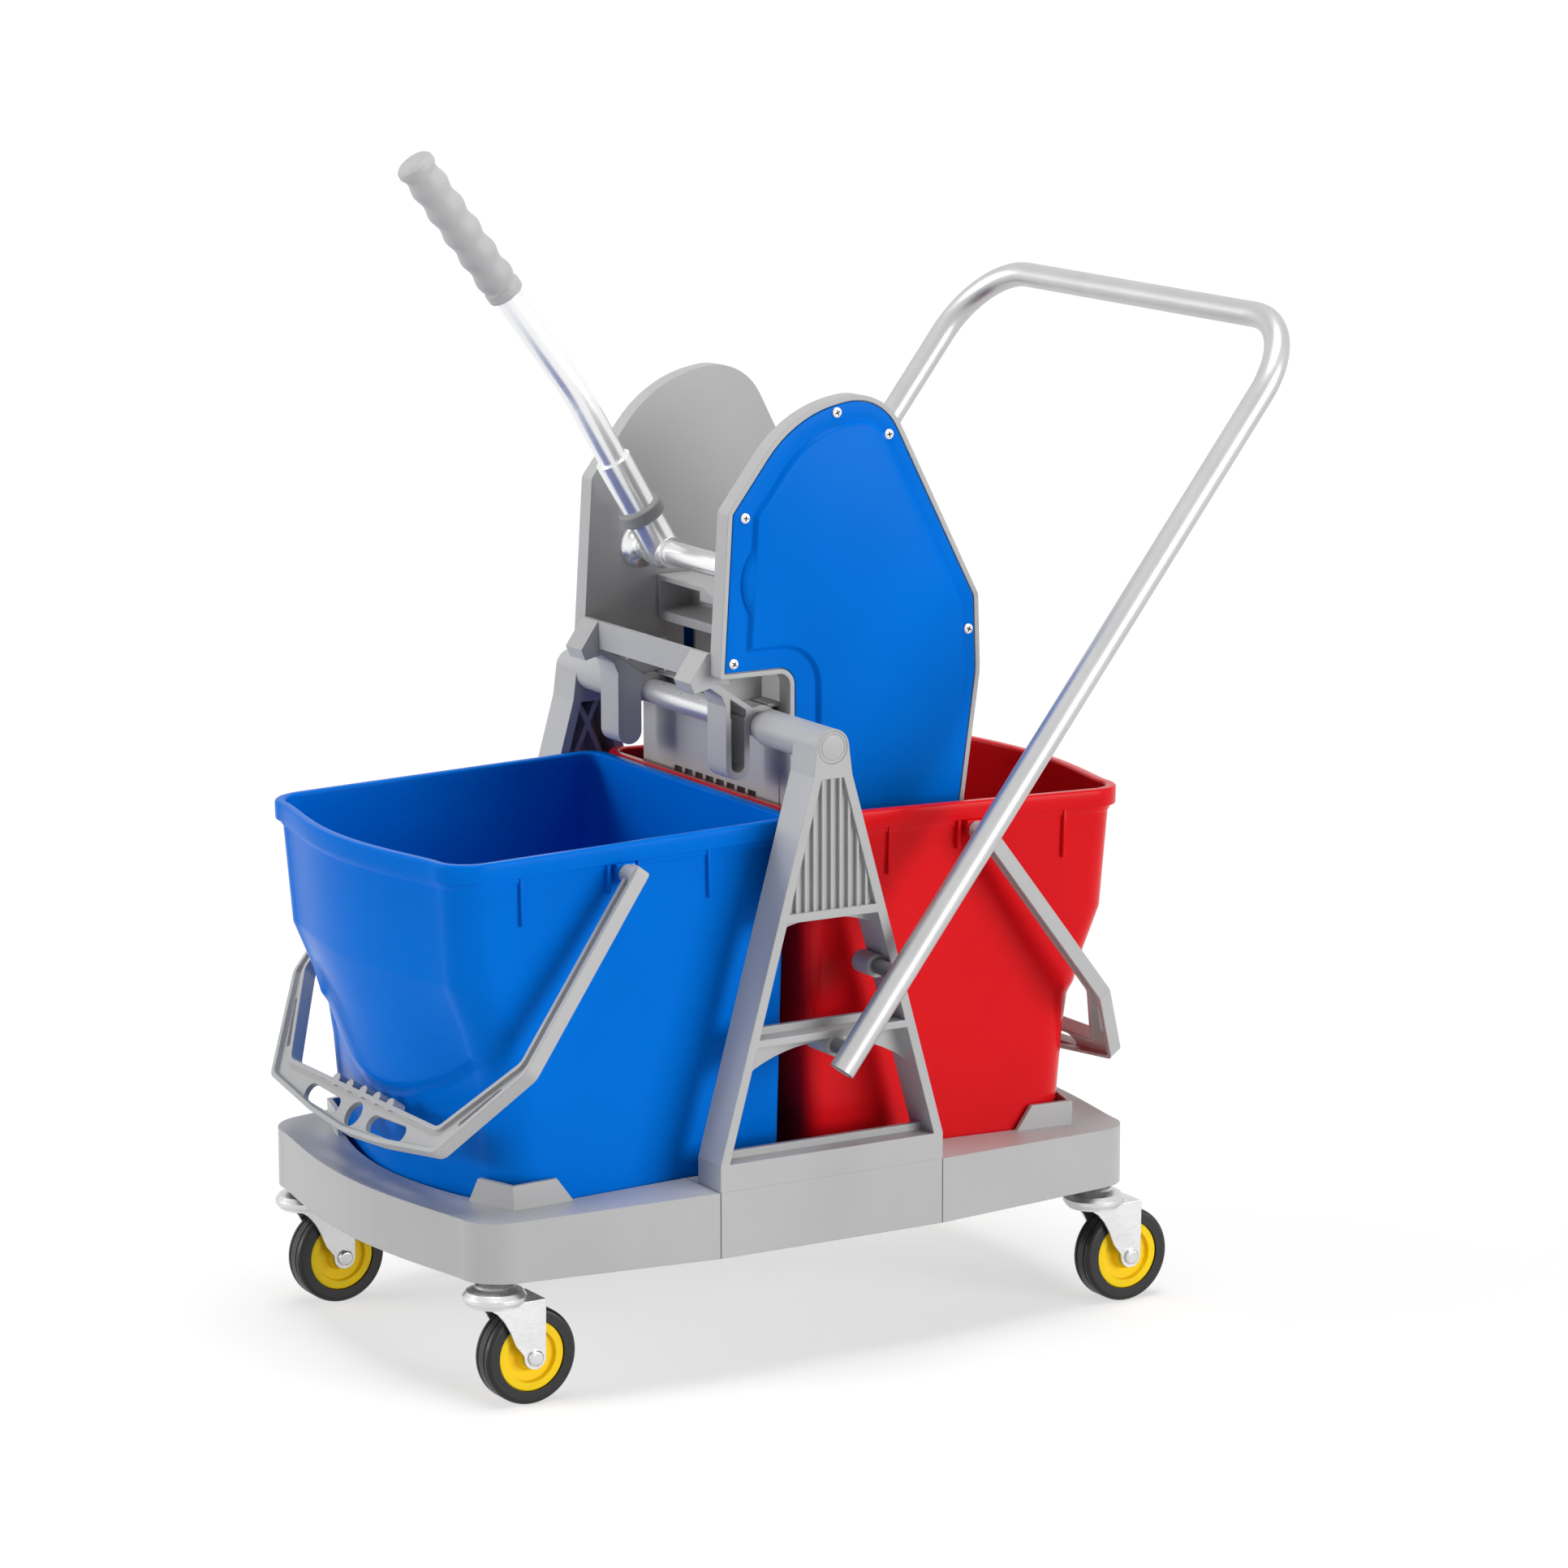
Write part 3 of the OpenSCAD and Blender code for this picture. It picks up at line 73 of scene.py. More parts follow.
metalLooks = {
    "silver_tube": dict(light=(0.55, 0.55, 0.553), deep=(0.50, 0.50, 0.503), metal=0.75,
                        rough=(0.32, 0.40), grain=3200, relief=0.04, edge=0.4),
    "bright_tube": dict(light=(0.80, 0.80, 0.80), deep=(0.74, 0.74, 0.742), metal=0.6,
                        rough=(0.26, 0.34), grain=3200, relief=0.02, edge=0.4),
    "chrome_steel": dict(light=(0.93, 0.931, 0.932), deep=(0.87, 0.871, 0.873), metal=1.0,
                         rough=(0.25, 0.33), grain=240, relief=0.015, edge=0.5),
    "lever_chrome": dict(light=(0.95, 0.95, 0.952), deep=(0.91, 0.91, 0.912), metal=0.7,
                         rough=(0.20, 0.26), grain=240, relief=0.004, edge=0.5),
    "steel_hardware": dict(light=(0.70, 0.70, 0.695), deep=(0.58, 0.583, 0.583), metal=1.0,
                           rough=(0.16, 0.30), grain=700, relief=0.05, edge=0.4),
    "fork_zinc": dict(light=(0.69, 0.69, 0.692), deep=(0.60, 0.60, 0.602), metal=0.85,
                      rough=(0.24, 0.36), grain=500, relief=0.03, edge=0.5),
    "screw_zinc": dict(light=(0.84, 0.84, 0.83), deep=(0.74, 0.74, 0.735), metal=0.45,
                       rough=(0.30, 0.42), grain=700, relief=0.03, edge=0.3),
    # painted shade: the cross recess of the screw heads is the same zinc as the head, and is given a
    # near-black colour to stand in for the shade inside it
    "recess_painted_shade": dict(light=(0.06, 0.06, 0.06), deep=(0.035, 0.035, 0.035), metal=0.5,
                         rough=(0.4, 0.55), grain=900, relief=0.05, edge=0.1),
}
finishOf = {  # nodes whose finish differs from the rest of their slot, by the start of their name
    "caster_fork": "fork_zinc", "cross_tube": "bright_tube", "socket_collar": "collar_grey",
    "front_tray": "base_grey", "rear_tray": "base_grey", "centre_block": "base_grey",
    "lever_tube": "lever_chrome", "lever_socket": "lever_chrome", "press_shaft": "lever_chrome",
    "near_cover_screws": "screw_zinc", "far_cover_screws": "screw_zinc",
}
plasticDetail = dict(cloud=9, peel=130, peelRelief=0.04, peelDepth=0.6, grainDepth=0.4, scuff=(60, 60, 700),
                     seamWidth=0.55, seamTone=0.12, ior=1.49)
metalDetail = dict(cloud=22, wipe=(90, 90, 900), grainDepth=0.3)


def newMaterial(name):
    mat = bpy.data.materials.new(name)
    mat.use_nodes = True
    tree = mat.node_tree
    return mat, tree, tree.nodes["Principled BSDF"]


def newNode(tree, kind, inputs, **settings):  # an input is a constant or another node's socket
    node = tree.nodes.new("ShaderNode" + kind)
    for key, value in settings.items():
        setattr(node, key, value)
    for key, value in inputs.items():
        if isinstance(value, bpy.types.NodeSocket):
            tree.links.new(value, node.inputs[key])
        else:
            node.inputs[key].default_value = value
    return node


def noise(tree, coords, scale, detail, rough=0.55):
    inputs = {"Vector": coords, "Scale": scale, "Detail": detail, "Roughness": rough}
    return newNode(tree, "TexNoise", inputs).outputs["Fac"]


def stretched(tree, coords, scale):
    return newNode(tree, "Mapping", {"Vector": coords, "Scale": scale}).outputs["Vector"]


def ramp(tree, fac, low, high, start=0.3, end=0.7):
    node = newNode(tree, "ValToRGB", {"Fac": fac})
    for element, place, tone in zip(node.color_ramp.elements, (start, end), (low, high)):
        element.position = place
        element.color = (*tone, 1)
    return node.outputs["Color"]


def spread(tree, fac, low, high, start=0.3, end=0.7):
    inputs = {"Value": fac, "From Min": start, "From Max": end, "To Min": low, "To Max": high}
    return newNode(tree, "MapRange", inputs).outputs["Result"]


def bumpChain(tree, shader, edge, *layers):  # the bevel catches light along the edges
    normal = newNode(tree, "Bevel", {"Radius": edge * mm}, samples=6).outputs["Normal"]
    for height, strength, depth in layers:
        inputs = {"Strength": strength, "Distance": depth * mm, "Height": height, "Normal": normal}
        normal = newNode(tree, "Bump", inputs).outputs["Normal"]
    tree.links.new(normal, shader.inputs["Normal"])


def darkLines(tree, coords, tone, places):  # a fine dark joint line at each x
    x = newNode(tree, "SeparateXYZ", {"Vector": coords}).outputs["X"]
    dark = (*[plasticDetail["seamTone"]] * 3, 1)
    for place in places:
        near = newNode(tree, "Math", {0: x, 1: place * mm, 2: plasticDetail["seamWidth"] * mm},
                       operation="COMPARE").outputs[0]
        tone = newNode(tree, "MixRGB", {"Fac": near, "Color1": tone, "Color2": dark}).outputs["Color"]
    return tone


def mouldedPlastic(name, look):
    mat, tree, shader = newMaterial(name)
    detail = plasticDetail
    coords = tree.nodes.new("ShaderNodeTexCoord").outputs["Object"]
    cloud = noise(tree, coords, scale=detail["cloud"], detail=5)
    grain = noise(tree, coords, scale=look["grain"], detail=2)
    peel = noise(tree, coords, scale=detail["peel"], detail=2)
    scuff = noise(tree, stretched(tree, coords, detail["scuff"]), scale=3, detail=6, rough=0.7)
    tone = darkLines(tree, coords, ramp(tree, cloud, look["deep"], look["light"]), look.get("seams", ()))
    tree.links.new(tone, shader.inputs["Base Color"])
    tree.links.new(spread(tree, scuff, *look["rough"]), shader.inputs["Roughness"])
    bumpChain(tree, shader, look["edge"], (peel, detail["peelRelief"], detail["peelDepth"]),
              (grain, look["relief"], detail["grainDepth"]))
    shader.inputs["IOR"].default_value = detail["ior"]
    shader.inputs["Specular IOR Level"].default_value = look["gloss"]
    return mat


def platedMetal(name, look):
    mat, tree, shader = newMaterial(name)
    detail = metalDetail
    coords = tree.nodes.new("ShaderNodeTexCoord").outputs["Object"]
    cloud = noise(tree, coords, scale=detail["cloud"], detail=6)
    grain = noise(tree, coords, scale=look["grain"], detail=3)
    wipe = noise(tree, stretched(tree, coords, detail["wipe"]), scale=2, detail=5, rough=0.65)
    tree.links.new(ramp(tree, cloud, look["deep"], look["light"]), shader.inputs["Base Color"])
    tree.links.new(spread(tree, wipe, *look["rough"]), shader.inputs["Roughness"])
    bumpChain(tree, shader, look["edge"], (grain, look["relief"], detail["grainDepth"]))
    shader.inputs["Metallic"].default_value = look["metal"]
    return mat


finish = {name: mouldedPlastic(name, look) for name, look in plasticLooks.items()}
finish.update({name: platedMetal(name, look) for name, look in metalLooks.items()})
print("materials made:", len(finish))


def lookOf(node):
    return next((look for start, look in finishOf.items() if node.startswith(start)), slotOf[node])


# piece making
def newPiece(name, bm, node=None, slotName=None, body=None, bend=40):
    mesh = bpy.data.meshes.new(name)
    bmesh.ops.recalc_face_normals(bm, faces=bm.faces)
    for face in bm.faces:
        face.smooth = True
    bm.to_mesh(mesh)
    bm.free()
    mesh.set_sharp_from_angle(angle=math.radians(bend))
    piece = bpy.data.objects.new(name, mesh)
    bpy.context.scene.collection.objects.link(piece)
    slotName = slotName or slotOf[node]
    mesh.materials.append(finish[lookOf(node) if node else slotName])
    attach(piece, body or bodyOf[node])
    if node:
        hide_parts(node)
    return piece


def inFrame(x, y, z):
    return Vector((x + middleX, y, z)) * mm


def point(bm, x, y, z):
    return bm.verts.new(inFrame(x, y, z))


def skin(bm, loops, wrap=False, ends=False):  # faces from loop to loop; a loop may be a single point
    for a, b in zip(loops, loops[1:] + (loops[:1] if wrap else [])):
        n = max(len(a), len(b))
        for i in range(n):
            j = (i + 1) % n
            around = (a[i % len(a)], a[j % len(a)], b[j % len(b)], b[i % len(b)])
            bm.faces.new(list(dict.fromkeys(around)))
    if ends:
        bm.faces.new(loops[0])
        bm.faces.new(loops[-1])


# plain rigid pieces get their edges rounded off
edgeSoftness = {
    "hopper": 0.8, "press_plate": 0.8, "handle_bolts": 0.5, "handle_spacers": 0.4, "cross_tube": 0.3,
    "press_shaft": 0.4, "socket_collar": 0.6, "lever_grip": 0.6,
    "near_pinion": 0.3, "far_pinion": 0.3, "near_rack": 0.3, "far_rack": 0.3,
    "caster_stem": 0.4, "caster_axle": 0.4, "wheel_hub": 0.4,
}
rounding = dict(bend=24, segments=2, weld=0.002, weight=60)


def creases(edges):
    least = math.radians(rounding["bend"])
    return [e for e in edges if len(e.link_faces) == 2 and e.calc_face_angle(0) > least]


def softened(node, width):
    bm = bmesh.new()
    bm.from_mesh(nodes[node].data)
    bmesh.ops.remove_doubles(bm, verts=bm.verts, dist=rounding["weld"] * mm)
    bmesh.ops.bevel(bm, geom=creases(bm.edges), offset=width * mm, offset_type="OFFSET",
                    segments=rounding["segments"], profile=0.5, affect="EDGES", clamp_overlap=False,
                    miter_outer="SHARP", miter_inner="SHARP")
    piece = newPiece(node + ".soft", bm, node, bend=50)
    normals = piece.modifiers.new("normals", "WEIGHTED_NORMAL")
    normals.keep_sharp = True
    normals.weight = rounding["weight"]


for node, piece in nodes.items():
    piece.data.materials.clear()
    piece.data.materials.append(finish[lookOf(node)])
    for start, width in edgeSoftness.items():
        if node.startswith(start):
            softened(node, width)
print("rigid pieces finished")


# buckets: one smooth lofted wall with a rolled rim, in the tilted frame of the seat (u out, v across, w up)
bucket = dict(  # the first lists give a measure at some heights, the later ones a height and a step outward
    reach=[(0, 292), (30, 294), (88, 298), (103, 299), (113, 305.2), (149, 310), (216, 324), (303, 329)],
    bow=[(0, 350), (30, 355), (88, 420), (149, 470), (216, 525), (303, 525)],
    half=[(0, 157), (303, 163)],
    inner=[(0, 20), (303, 6)],
    corner=[(0, 40), (88, 36), (216, 30), (303, 28)],
    lift=[(60, 0), (118, 41), (157, 41), (216, 0)],  # the crease rises toward the corners
    innerCorner=16, shoulder=1.4, easing=1.6, easingSteps=3,
    wall=3, neck=303, tilt=1.5, setback=7.3, seat=128,
    foot=[(0, -6), (0.6, -3.6), (2.2, -1.6), (4.6, -0.4), (8, 0)],
    outerRings=(14, 296, 2),
    rim=[(296, 0), (297.4, 0.2), (298.4, 1.1), (299.2, 1.5), (302.2, 1.5), (302.9, 2.2), (303, 5.2),
         (303.2, 5.8), (303.8, 6), (316.2, 6), (317.2, 5.7), (317.8, 5.1), (318, 4.3),
         (318, -1.2), (317.7, -2.1), (317, -2.8), (315.6, -3)],
    innerRings=(306, 12, -6),
    floor=[(9, -3.3), (6, -4.4), (4, -6.4), (3, -9)],
)
lug = dict(  # the boss of the bail's peg, a guard on each side of it, and two ribs further out
    u=162.6, w=294.5, radius=8.5, out=9, steps=14, root=2, under=0.2, thick=3, soft=0.8,
    guards=(-15, 12), guardHigh=24, guardOut=5, ribs=(82.5, 251.5), ribHigh=40, ribOut=3,
)


def lookup(table, w):
    if w <= table[0][0]:
        return table[0][1]
    for (a, p), (b, q) in zip(table, table[1:]):
        if w <= b:
            return p + (q - p) * (w - a) / (b - a)
    return table[-1][1]


def eased(key, w):  # a soft crease instead of a hard knee between two heights
    n = bucket["easingSteps"]
    return sum(lookup(bucket[key], w + bucket["easing"] * k / n) for k in range(-n, n + 1)) / (2 * n + 1)


def cornerEdge(w, out):
    reach, half, bow, r = (eased(k, w) + out for k in ("reach", "half", "bow", "corner"))
    return reach, reach - bow + r + math.sqrt((bow - r) ** 2 - (half - r) ** 2)


def bucketRing(w, out, front=48, side=24, turn=14, innerTurn=10):
    level = min(max(w, 0), bucket["neck"])
    lift = lookup(bucket["lift"], level)
    half, r = (eased(k, level) + out for k in ("half", "corner"))
    start = eased("inner", level) - out
    ri = bucket["innerCorner"] + out
    cornerU = cornerEdge(level - lift, out)[1] - r
    points = []

    def arc(u, v, radius, quarter, steps):
        for i in range(steps):
            t = math.pi / 2 * (quarter + i / steps)
            points.append((u + radius * math.cos(t), v + radius * math.sin(t), w))

    def line(u0, v0, u1, v1):
        for i in range(side):
            points.append((u0 + (u1 - u0) * i / side, v0 + (v1 - v0) * i / side, w))

    for i in range(front):  # the front bows out between two soft shoulders
        t = math.sin(math.pi * (i / front - 0.5))
        reach, flat = cornerEdge(level - t * t * lift, out)
        bulge = (reach - flat) * max(1 - t * t, 0) ** bucket["shoulder"]
        points.append((flat + bulge, (half - r) * t, w))
    arc(cornerU, half - r, r, 0, turn)
    line(cornerU, half, start + ri, half)
    arc(start + ri, half - ri, ri, 1, innerTurn)
    line(start, half - ri, start, ri - half)
    arc(start + ri, ri - half, ri, 2, innerTurn)
    line(start + ri, -half, cornerU, -half)
    arc(cornerU, r - half, r, 3, turn)
    return points


def seatPoint(bm, u, v, w, way):
    t = math.radians(bucket["tilt"])
    x = u * math.cos(t) + w * math.sin(t) - bucket["setback"]
    return point(bm, way * x, v, bucket["seat"] + w * math.cos(t) - u * math.sin(t))


def addPrism(bm, outline, v0, v1, way):  # outline in u and w, between two v values
    before = set(bm.faces)
    skin(bm, [[seatPoint(bm, u, v, w, way) for u, w in outline] for v in (v0, v1)], ends=True)
    faces = [f for f in bm.faces if f not in before]
    bmesh.ops.recalc_face_normals(bm, faces=faces)
    edges = creases({e for f in faces for e in f.edges})
    bmesh.ops.bevel(bm, geom=edges, offset=lug["soft"] * mm, offset_type="OFFSET",
                    segments=rounding["segments"], profile=0.5, affect="EDGES", clamp_overlap=True)


def blade(u, high):
    neck, end = bucket["neck"], u + lug["thick"]
    top = neck - lug["under"]
    return [(u, neck - high), (end, neck - high), (end, top), (u, top)]


def makeBucket(node, way):
    rings = bucket["foot"] + [(w, 0) for w in range(*bucket["outerRings"])] + bucket["rim"]
    rings += [(w, -bucket["wall"]) for w in range(*bucket["innerRings"])] + bucket["floor"]
    bm = bmesh.new()
    skin(bm, [[seatPoint(bm, *p, way) for p in bucketRing(w, out)] for w, out in rings], ends=True)
    side = lookup(bucket["half"], lug["w"])
    u, r, top = lug["u"], lug["radius"], bucket["neck"] - lug["under"]
    turns = [math.pi * (1 + k / lug["steps"]) for k in range(lug["steps"] + 1)]
    boss = [(u + r * math.cos(t), lug["w"] + r * math.sin(t)) for t in turns] + [(u + r, top), (u - r, top)]
    prisms = [(boss, lug["out"])]
    prisms += [(blade(u + more, lug["guardHigh"]), lug["guardOut"]) for more in lug["guards"]]
    prisms += [(blade(place, lug["ribHigh"]), lug["ribOut"]) for place in lug["ribs"]]
    for s in (-1, 1):
        for outline, out in prisms:
            addPrism(bm, outline, s * (side - lug["root"]), s * (side + out), way)
    newPiece(node + ".wall", bm, node, bend=50)


makeBucket("blue_bucket", -1)
makeBucket("red_bucket", 1)
print("buckets lofted")


# covers: a plate with a rounded edge and a raised field with soft slopes, bulged round the shaft
cover = dict(
    edge=[(-48.5, 554), (17, 554), (17, 385), (176, 385), (198, 540), (196, 603), (105, 780), (20, 766),
          (-40, 688)],
    corner=[3, 10, 10, 15, 60, 10, 50, 110, 10], leastCorner=1.5,
    field=[20, 23, 18, 14.5, 15, 16.5, 19.5, 20, 22.5],  # how far it lies inside each edge
    foot=1, slope=4.4, rise=4.0, face=121.0,
    rim=4.8, lip=[(0, -2.4), (0, -0.9), (0.15, -0.45), (0.5, -0.12), (1, 0)],  # steps inward and outward
    ramp=[(0, 0), (0.06, 0.015), (0.14, 0.07), (0.3, 0.25), (0.5, 0.5), (0.7, 0.75), (0.86, 0.93),
          (0.94, 0.985), (1, 1)],  # shares of the slope and of the rise
    bulgeAt=(13, 629), bulge=[(0, 42), (0.5, 41), (1, 27)],  # share of the slope and radius
)


def insetOutline(inset, bulge, steps=10, samples=40):
    pts = [Vector(p) for p in cover["edge"]]
    n = len(pts)
    ways = [(pts[(i + 1) % n] - pts[i]).normalized() for i in range(n)]
    starts = [pts[i] + Vector((-ways[i].y, ways[i].x)) * inset[i] for i in range(n)]
    corners = []
    for i in range(n):  # where the moved edge before meets the moved edge after
        a, b = ways[i - 1], ways[i]
        gap = starts[i] - starts[i - 1]
        corners.append(starts[i - 1] + a * (gap.x * b.y - gap.y * b.x) / (a.x * b.y - a.y * b.x))
    outline = []
    for i in range(n):
        a, b = ways[i - 1], ways[i]
        left = a.x * b.y - a.y * b.x > 0
        depth = (inset[i - 1] + inset[i]) / 2
        r = max(cover["corner"][i] - depth, cover["leastCorner"]) if left else cover["corner"][i] + depth
        turn = a.angle(b)
        side = Vector((-a.y, a.x)) * (1 if left else -1)
        centre = corners[i] - a * r * math.tan(turn / 2) + side * r
        for k in range(steps + 1):
            t = turn * k / steps
            outline.append(centre - side * r * math.cos(t) + a * r * math.sin(t))
    first = outline[-1]  # the last edge runs beside the shaft, and the bulge pushes it out
    r = max(cover["corner"][0] - (inset[-1] + inset[0]) / 2, cover["leastCorner"])
    last = corners[0] - ways[-1] * r * math.tan(ways[-1].angle(ways[0]) / 2)
    shaftX, shaftZ = cover["bulgeAt"]
    for k in range(1, samples):
        p = first.lerp(last, k / samples)
        dz = p.y - shaftZ
        if abs(dz) < bulge:
            p.x = min(p.x, shaftX - math.sqrt(bulge * bulge - dz * dz))
        outline.append(p)
    return outline


def makeCover(node, way):
    bm = bmesh.new()
    field, face = cover["field"], cover["face"]
    levels = [([cover["rim"] + more] * len(field), face + out, 0) for more, out in cover["lip"]]
    levels.append(([f - cover["foot"] for f in field], face, cover["bulge"][0][1] + cover["foot"]))
    for t, height in cover["ramp"]:
        inset = [f + cover["slope"] * t for f in field]
        levels.append((inset, face + cover["rise"] * height, lookup(cover["bulge"], t)))
    skin(bm, [[point(bm, p.x, way * out, p.y) for p in insetOutline(inset, bulge)]
              for inset, out, bulge in levels], ends=True)
    newPiece(node + ".plate", bm, node, bend=60)


makeCover("near_cover", -1)
makeCover("far_cover", 1)
print("covers made")


# upright ends: a flat cap with a fine groove round it; its profile is radius and step outward
cap = dict(at=(0, 510), face=215.5, profile=[
    (0, 0.0), (9.6, 0.0), (10.2, -0.1), (10.5, -0.6), (10.9, -0.6), (11.2, -0.1), (11.7, 0.0), (12.6, 0.0),
    (13.1, -0.3), (13.25, -0.8), (13.25, -2.9), (0, -2.9)])
# shaft flanges: a domed disc with a raised collar on the inside of each panel, and a journal into the panel
flange = dict(at=(6, 629), face=104, profile=[
    (10.05, -10.8), (11.0, -10.6), (11.7, -9.8), (12.0, -8.6), (12.6, -7.6), (14.6, -6.6), (16.8, -5.2),
    (18.6, -3.5), (19.6, -1.9), (19.9, -0.7), (19.5, -0.05), (13, -0.05), (13, 3.5), (10.05, 3.5)])


def turned(bm, shape, way, sides=72):  # the loops of a profile round its axis
    x, z = shape["at"]
    loops = []
    for r, out in shape["profile"]:
        steps = [math.tau * i / sides for i in range(sides)] if r else [0]
        loops.append([point(bm, x + r * math.cos(t), way * (shape["face"] + out), z + r * math.sin(t))
                      for t in steps])
    return loops


def makeTurned(node, ending, shape, bend, wrap):
    bm = bmesh.new()
    for way in (-1, 1):
        skin(bm, turned(bm, shape, way), wrap=wrap)
    newPiece(node + ending, bm, node, bend=bend)


makeTurned("boss_caps", ".discs", cap, bend=50, wrap=False)
makeTurned("shaft_flanges", ".domes", flange, bend=45, wrap=True)
print("caps and flanges made")


# webs: thin walls in the corner between each hook, the beam and the panel
web = dict(outline=[(-46, 553.5), (15, 553.5), (15, 528), (3, 527.2), (-8, 525.5), (-46, 551)],
           sides=(76, 79))


def makeWebs(name):
    bm = bmesh.new()
    for way in (-1, 1):
        skin(bm, [[point(bm, x, way * y, z) for x, z in web["outline"]] for y in web["sides"]], ends=True)
    newPiece(name, bm, slotName="grey_plastic", body="wringer", bend=30)


makeWebs("hook_beam.webs")
print("webs made")


# cover screws: pan heads with a cross recess
screw = dict(
    places=[(60.6, 762), (109.5, 741), (-24.8, 683), (186, 575), (-36, 566), (172, 420), (40, 399)],
    seat=121.05, radius=4.3, height=1.9, sides=48, turn=0.4, turnStep=1.3,
    skirt=[(-0.5, -0.02), (0, 0.3), (0, 0.7)],  # steps from the radius and the seat
    dome=[(0.96, 0.62), (0.86, 0.85), (0.68, 0.98)],  # shares of the radius and the height
    slotLength=4.8, slotWidth=1.15, slotDepth=1.5, slotTaper=0.8,
)


def makeScrews(node, way):
    bm = bmesh.new()
    r, h, sides = screw["radius"], screw["height"], screw["sides"]
    profile = [(r + more, out) for more, out in screw["skirt"]] + [(r * p, h * q) for p, q in screw["dome"]]
    circle = [(math.cos(math.tau * i / sides), math.sin(math.tau * i / sides)) for i in range(sides)]
    arm, half, taper = screw["slotLength"] / 2, screw["slotWidth"] / 2, screw["slotTaper"]
    cross = [(arm, -half), (arm, half), (half, half), (half, arm), (-half, arm), (-half, half),
             (-arm, half), (-arm, -half), (-half, -half), (-half, -arm), (half, -arm), (half, -half)]
    n = len(cross)
    for k, (x, z) in enumerate(screw["places"]):
        spin = screw["turn"] + screw["turnStep"] * k
        c, s = math.cos(spin), math.sin(spin)

        def at(a, b, out):
            return point(bm, x + a * c - b * s, way * (screw["seat"] + out), z + a * s + b * c)

        loops = [[at(q * a, q * b, out) for a, b in circle] for q, out in profile]
        skin(bm, loops)
        bm.faces.new(loops[0])
        mouth = [at(a, b, h) for a, b in cross]
        floor = [at(a * taper, b * taper, h - screw["slotDepth"]) for a, b in cross]
        recess = [bm.faces.new(floor)]
        for i in range(n):
            j = (i + 1) % n
            recess.append(bm.faces.new((mouth[i], mouth[j], floor[j], floor[i])))
        # the recess faces get the second material, a near-black painted shade
        for face in recess:
            face.material_index = 1
        edges = [bm.edges.get((loop[i], loop[(i + 1) % len(loop)]))
                 for loop in (loops[-1], mouth) for i in range(len(loop))]
        bmesh.ops.bridge_loops(bm, edges=edges)
    heads = newPiece(node + ".heads", bm, node, bend=40)
    heads.data.materials.append(finish["recess_painted_shade"])


makeScrews("near_cover_screws", -1)
makeScrews("far_cover_screws", 1)
print("screws made")


# room, light and camera
studio = dict(
    floorSize=60000, floorRough=0.9, floorTone=0.45, floorBounce=0.8, floorLift=0.62, ambient=0.04,
    suns={  # azimuth, elevation, strength and angle
        "key": (26, 7, 2.58, 36), "left": (-116, 12, 1.5, 40), "top": (0, 86, 2.1, 34),
        "streak": (-104, 12, 0.45, 8),
    },
)
camera = dict(azimuth=-30.66, elevation=11.35, roll=-0.11, distance=4871.5, lens=135.70, sensor=36,
              near=100, far=200000, target=(61.4, -35.92, 443.55))


def direction(azimuth, elevation):
    a, e = math.radians(azimuth), math.radians(elevation)
    return Vector((math.sin(a) * math.cos(e), -math.cos(a) * math.cos(e), math.sin(e)))


def seenBy(tree, *rays):  # 1 where one of these rays looks, else 0
    path = tree.nodes.new("ShaderNodeLightPath")
    seen = path.outputs[rays[0]]
    for ray in rays[1:]:
        seen = newNode(tree, "Math", {0: seen, 1: path.outputs[ray]}, operation="MAXIMUM").outputs[0]
    return seen


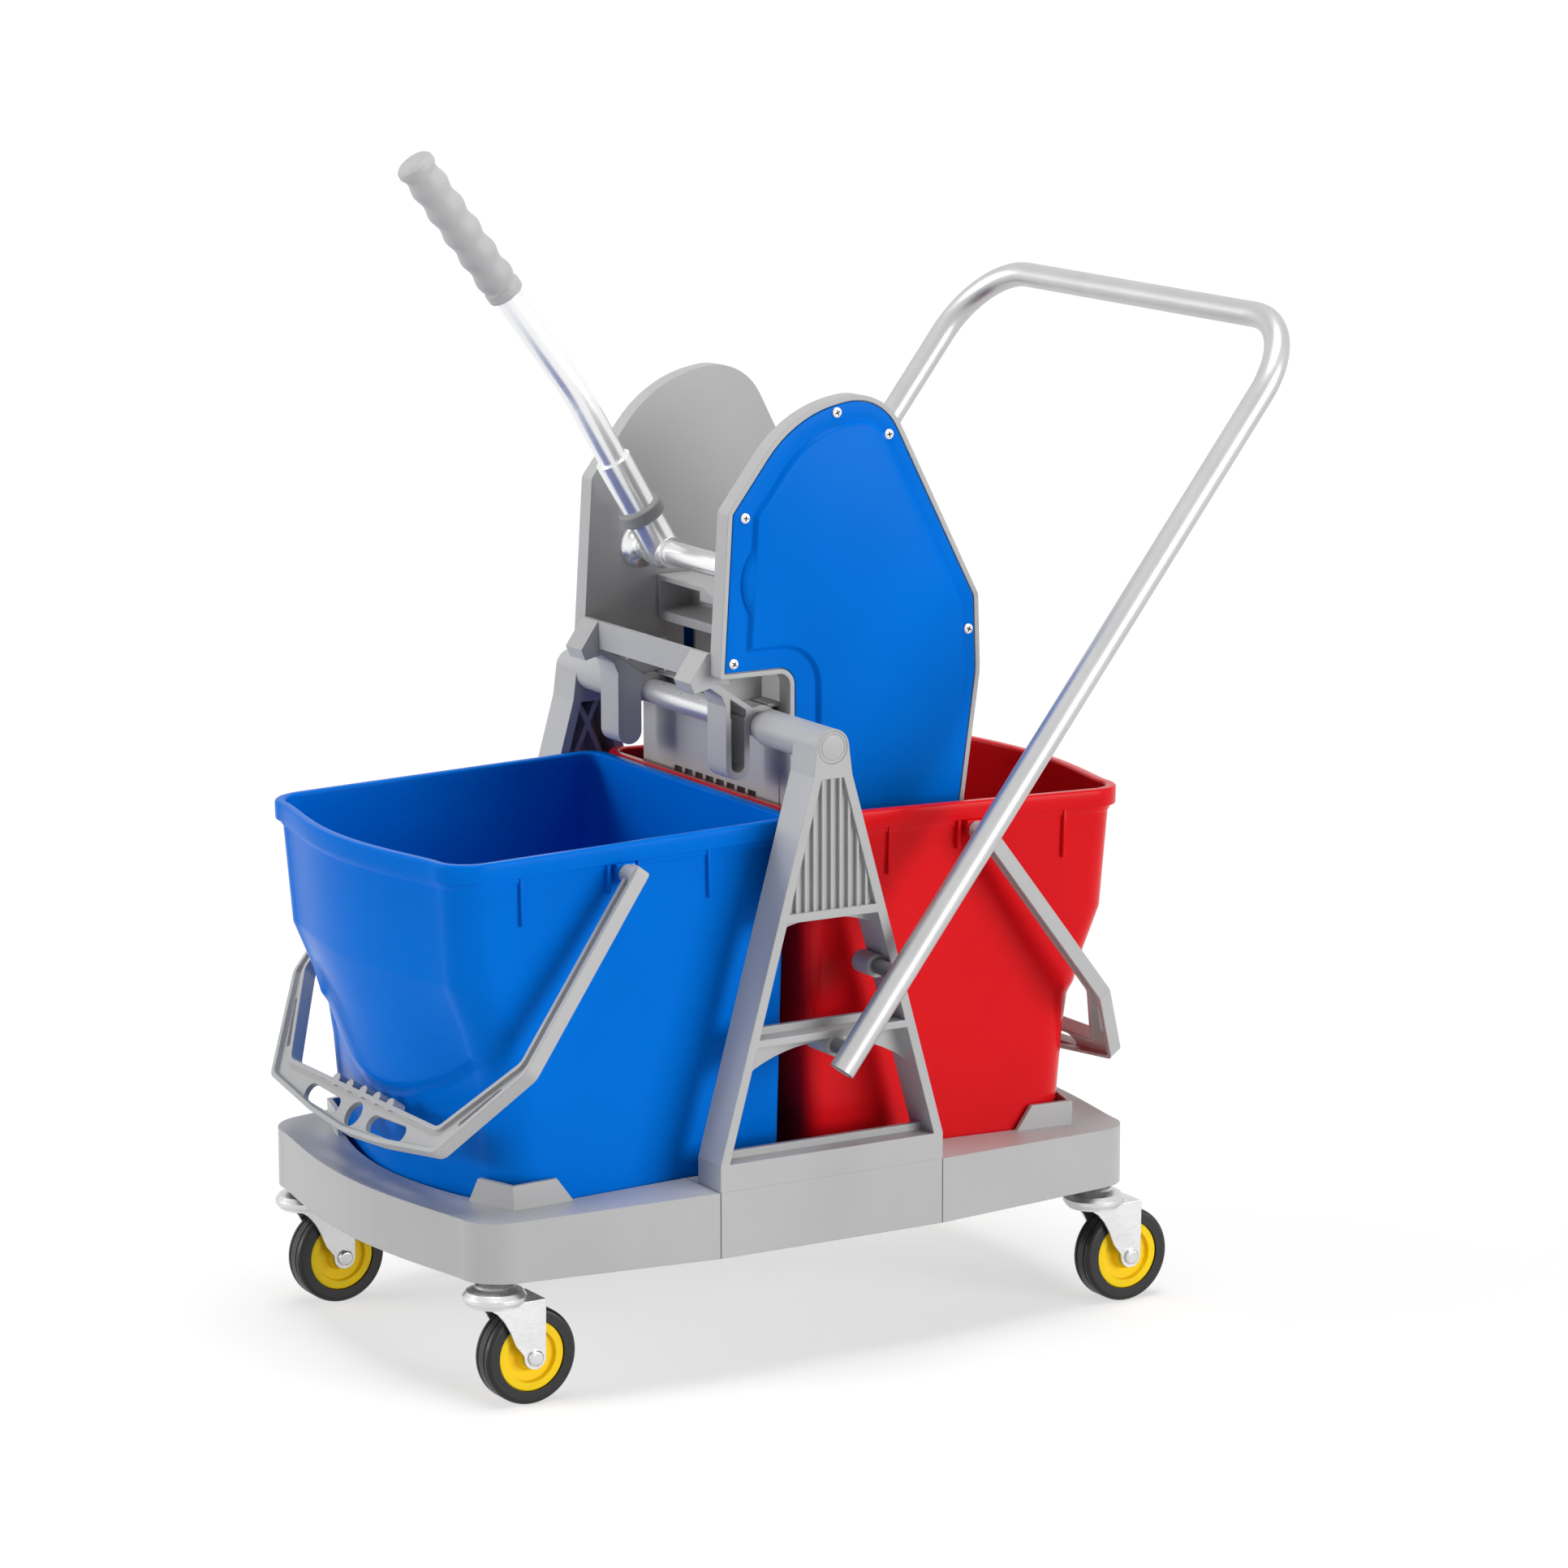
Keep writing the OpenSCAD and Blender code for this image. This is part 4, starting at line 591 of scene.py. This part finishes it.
def makeFloor():
    size = studio["floorSize"] * mm
    mesh = bpy.data.meshes.new("floor")
    mesh.from_pydata([(-size, -size, 0), (size, -size, 0), (size, size, 0), (-size, size, 0)], [],
                     [(0, 1, 2, 3)])
    floor = bpy.data.objects.new("floor", mesh)
    bpy.context.scene.collection.objects.link(floor)
    mat, tree, shader = newMaterial("pale_floor")
    shader.inputs["Roughness"].default_value = studio["floorRough"]
    shader.inputs["Specular IOR Level"].default_value = 0.0
    seen = seenBy(tree, "Is Camera Ray", "Is Glossy Ray")
    bounce, shown = ((*[studio[key]] * 3, 1) for key in ("floorBounce", "floorTone"))
    tone = newNode(tree, "MixRGB", {"Fac": seen, "Color1": bounce, "Color2": shown})
    tree.links.new(tone.outputs["Color"], shader.inputs["Base Color"])
    lift = newNode(tree, "Math", {0: seen, 1: studio["floorLift"]}, operation="MULTIPLY")
    shader.inputs["Emission Color"].default_value = (1, 1, 1, 1)
    tree.links.new(lift.outputs[0], shader.inputs["Emission Strength"])
    mesh.materials.append(mat)


def makeWorld():
    world = bpy.data.worlds.new("studio")
    bpy.context.scene.world = world
    world.use_nodes = True
    tree = world.node_tree
    tree.nodes.clear()
    seen = seenBy(tree, "Is Camera Ray", "Is Transmission Ray", "Is Glossy Ray")
    soft, white = (newNode(tree, "Background", {"Color": (1, 1, 1, 1), "Strength": strength}).outputs[0]
                   for strength in (studio["ambient"], 1.0))
    mix = newNode(tree, "MixShader", {"Fac": seen, 1: soft, 2: white})
    newNode(tree, "OutputWorld", {"Surface": mix.outputs[0]})


def makeSun(name, azimuth, elevation, strength, angle):
    lamp = bpy.data.lights.new(name, "SUN")
    lamp.energy = strength
    lamp.angle = math.radians(angle)
    sun = bpy.data.objects.new(name, lamp)
    sun.rotation_mode = "QUATERNION"
    sun.rotation_quaternion = direction(azimuth, elevation).to_track_quat("Z", "Y")
    bpy.context.scene.collection.objects.link(sun)


def makeCamera():
    data = bpy.data.cameras.new("camera")
    data.sensor_width = camera["sensor"]
    data.lens = camera["lens"]
    data.clip_start, data.clip_end = camera["near"] * mm, camera["far"] * mm
    cam = bpy.data.objects.new("camera", data)
    bpy.context.scene.collection.objects.link(cam)
    back = direction(camera["azimuth"], camera["elevation"])
    turn = (-back).to_track_quat("-Z", "Y").to_matrix().to_4x4()
    place = Matrix.Translation(inFrame(*camera["target"]) + back * camera["distance"] * mm)
    cam.matrix_world = place @ turn @ Matrix.Rotation(math.radians(camera["roll"]), 4, "Z")
    bpy.context.scene.camera = cam


makeFloor()
makeWorld()
for name, place in studio["suns"].items():
    makeSun(name, *place)
makeCamera()
bpy.context.scene.view_settings.view_transform = "Standard"
print("studio ready")
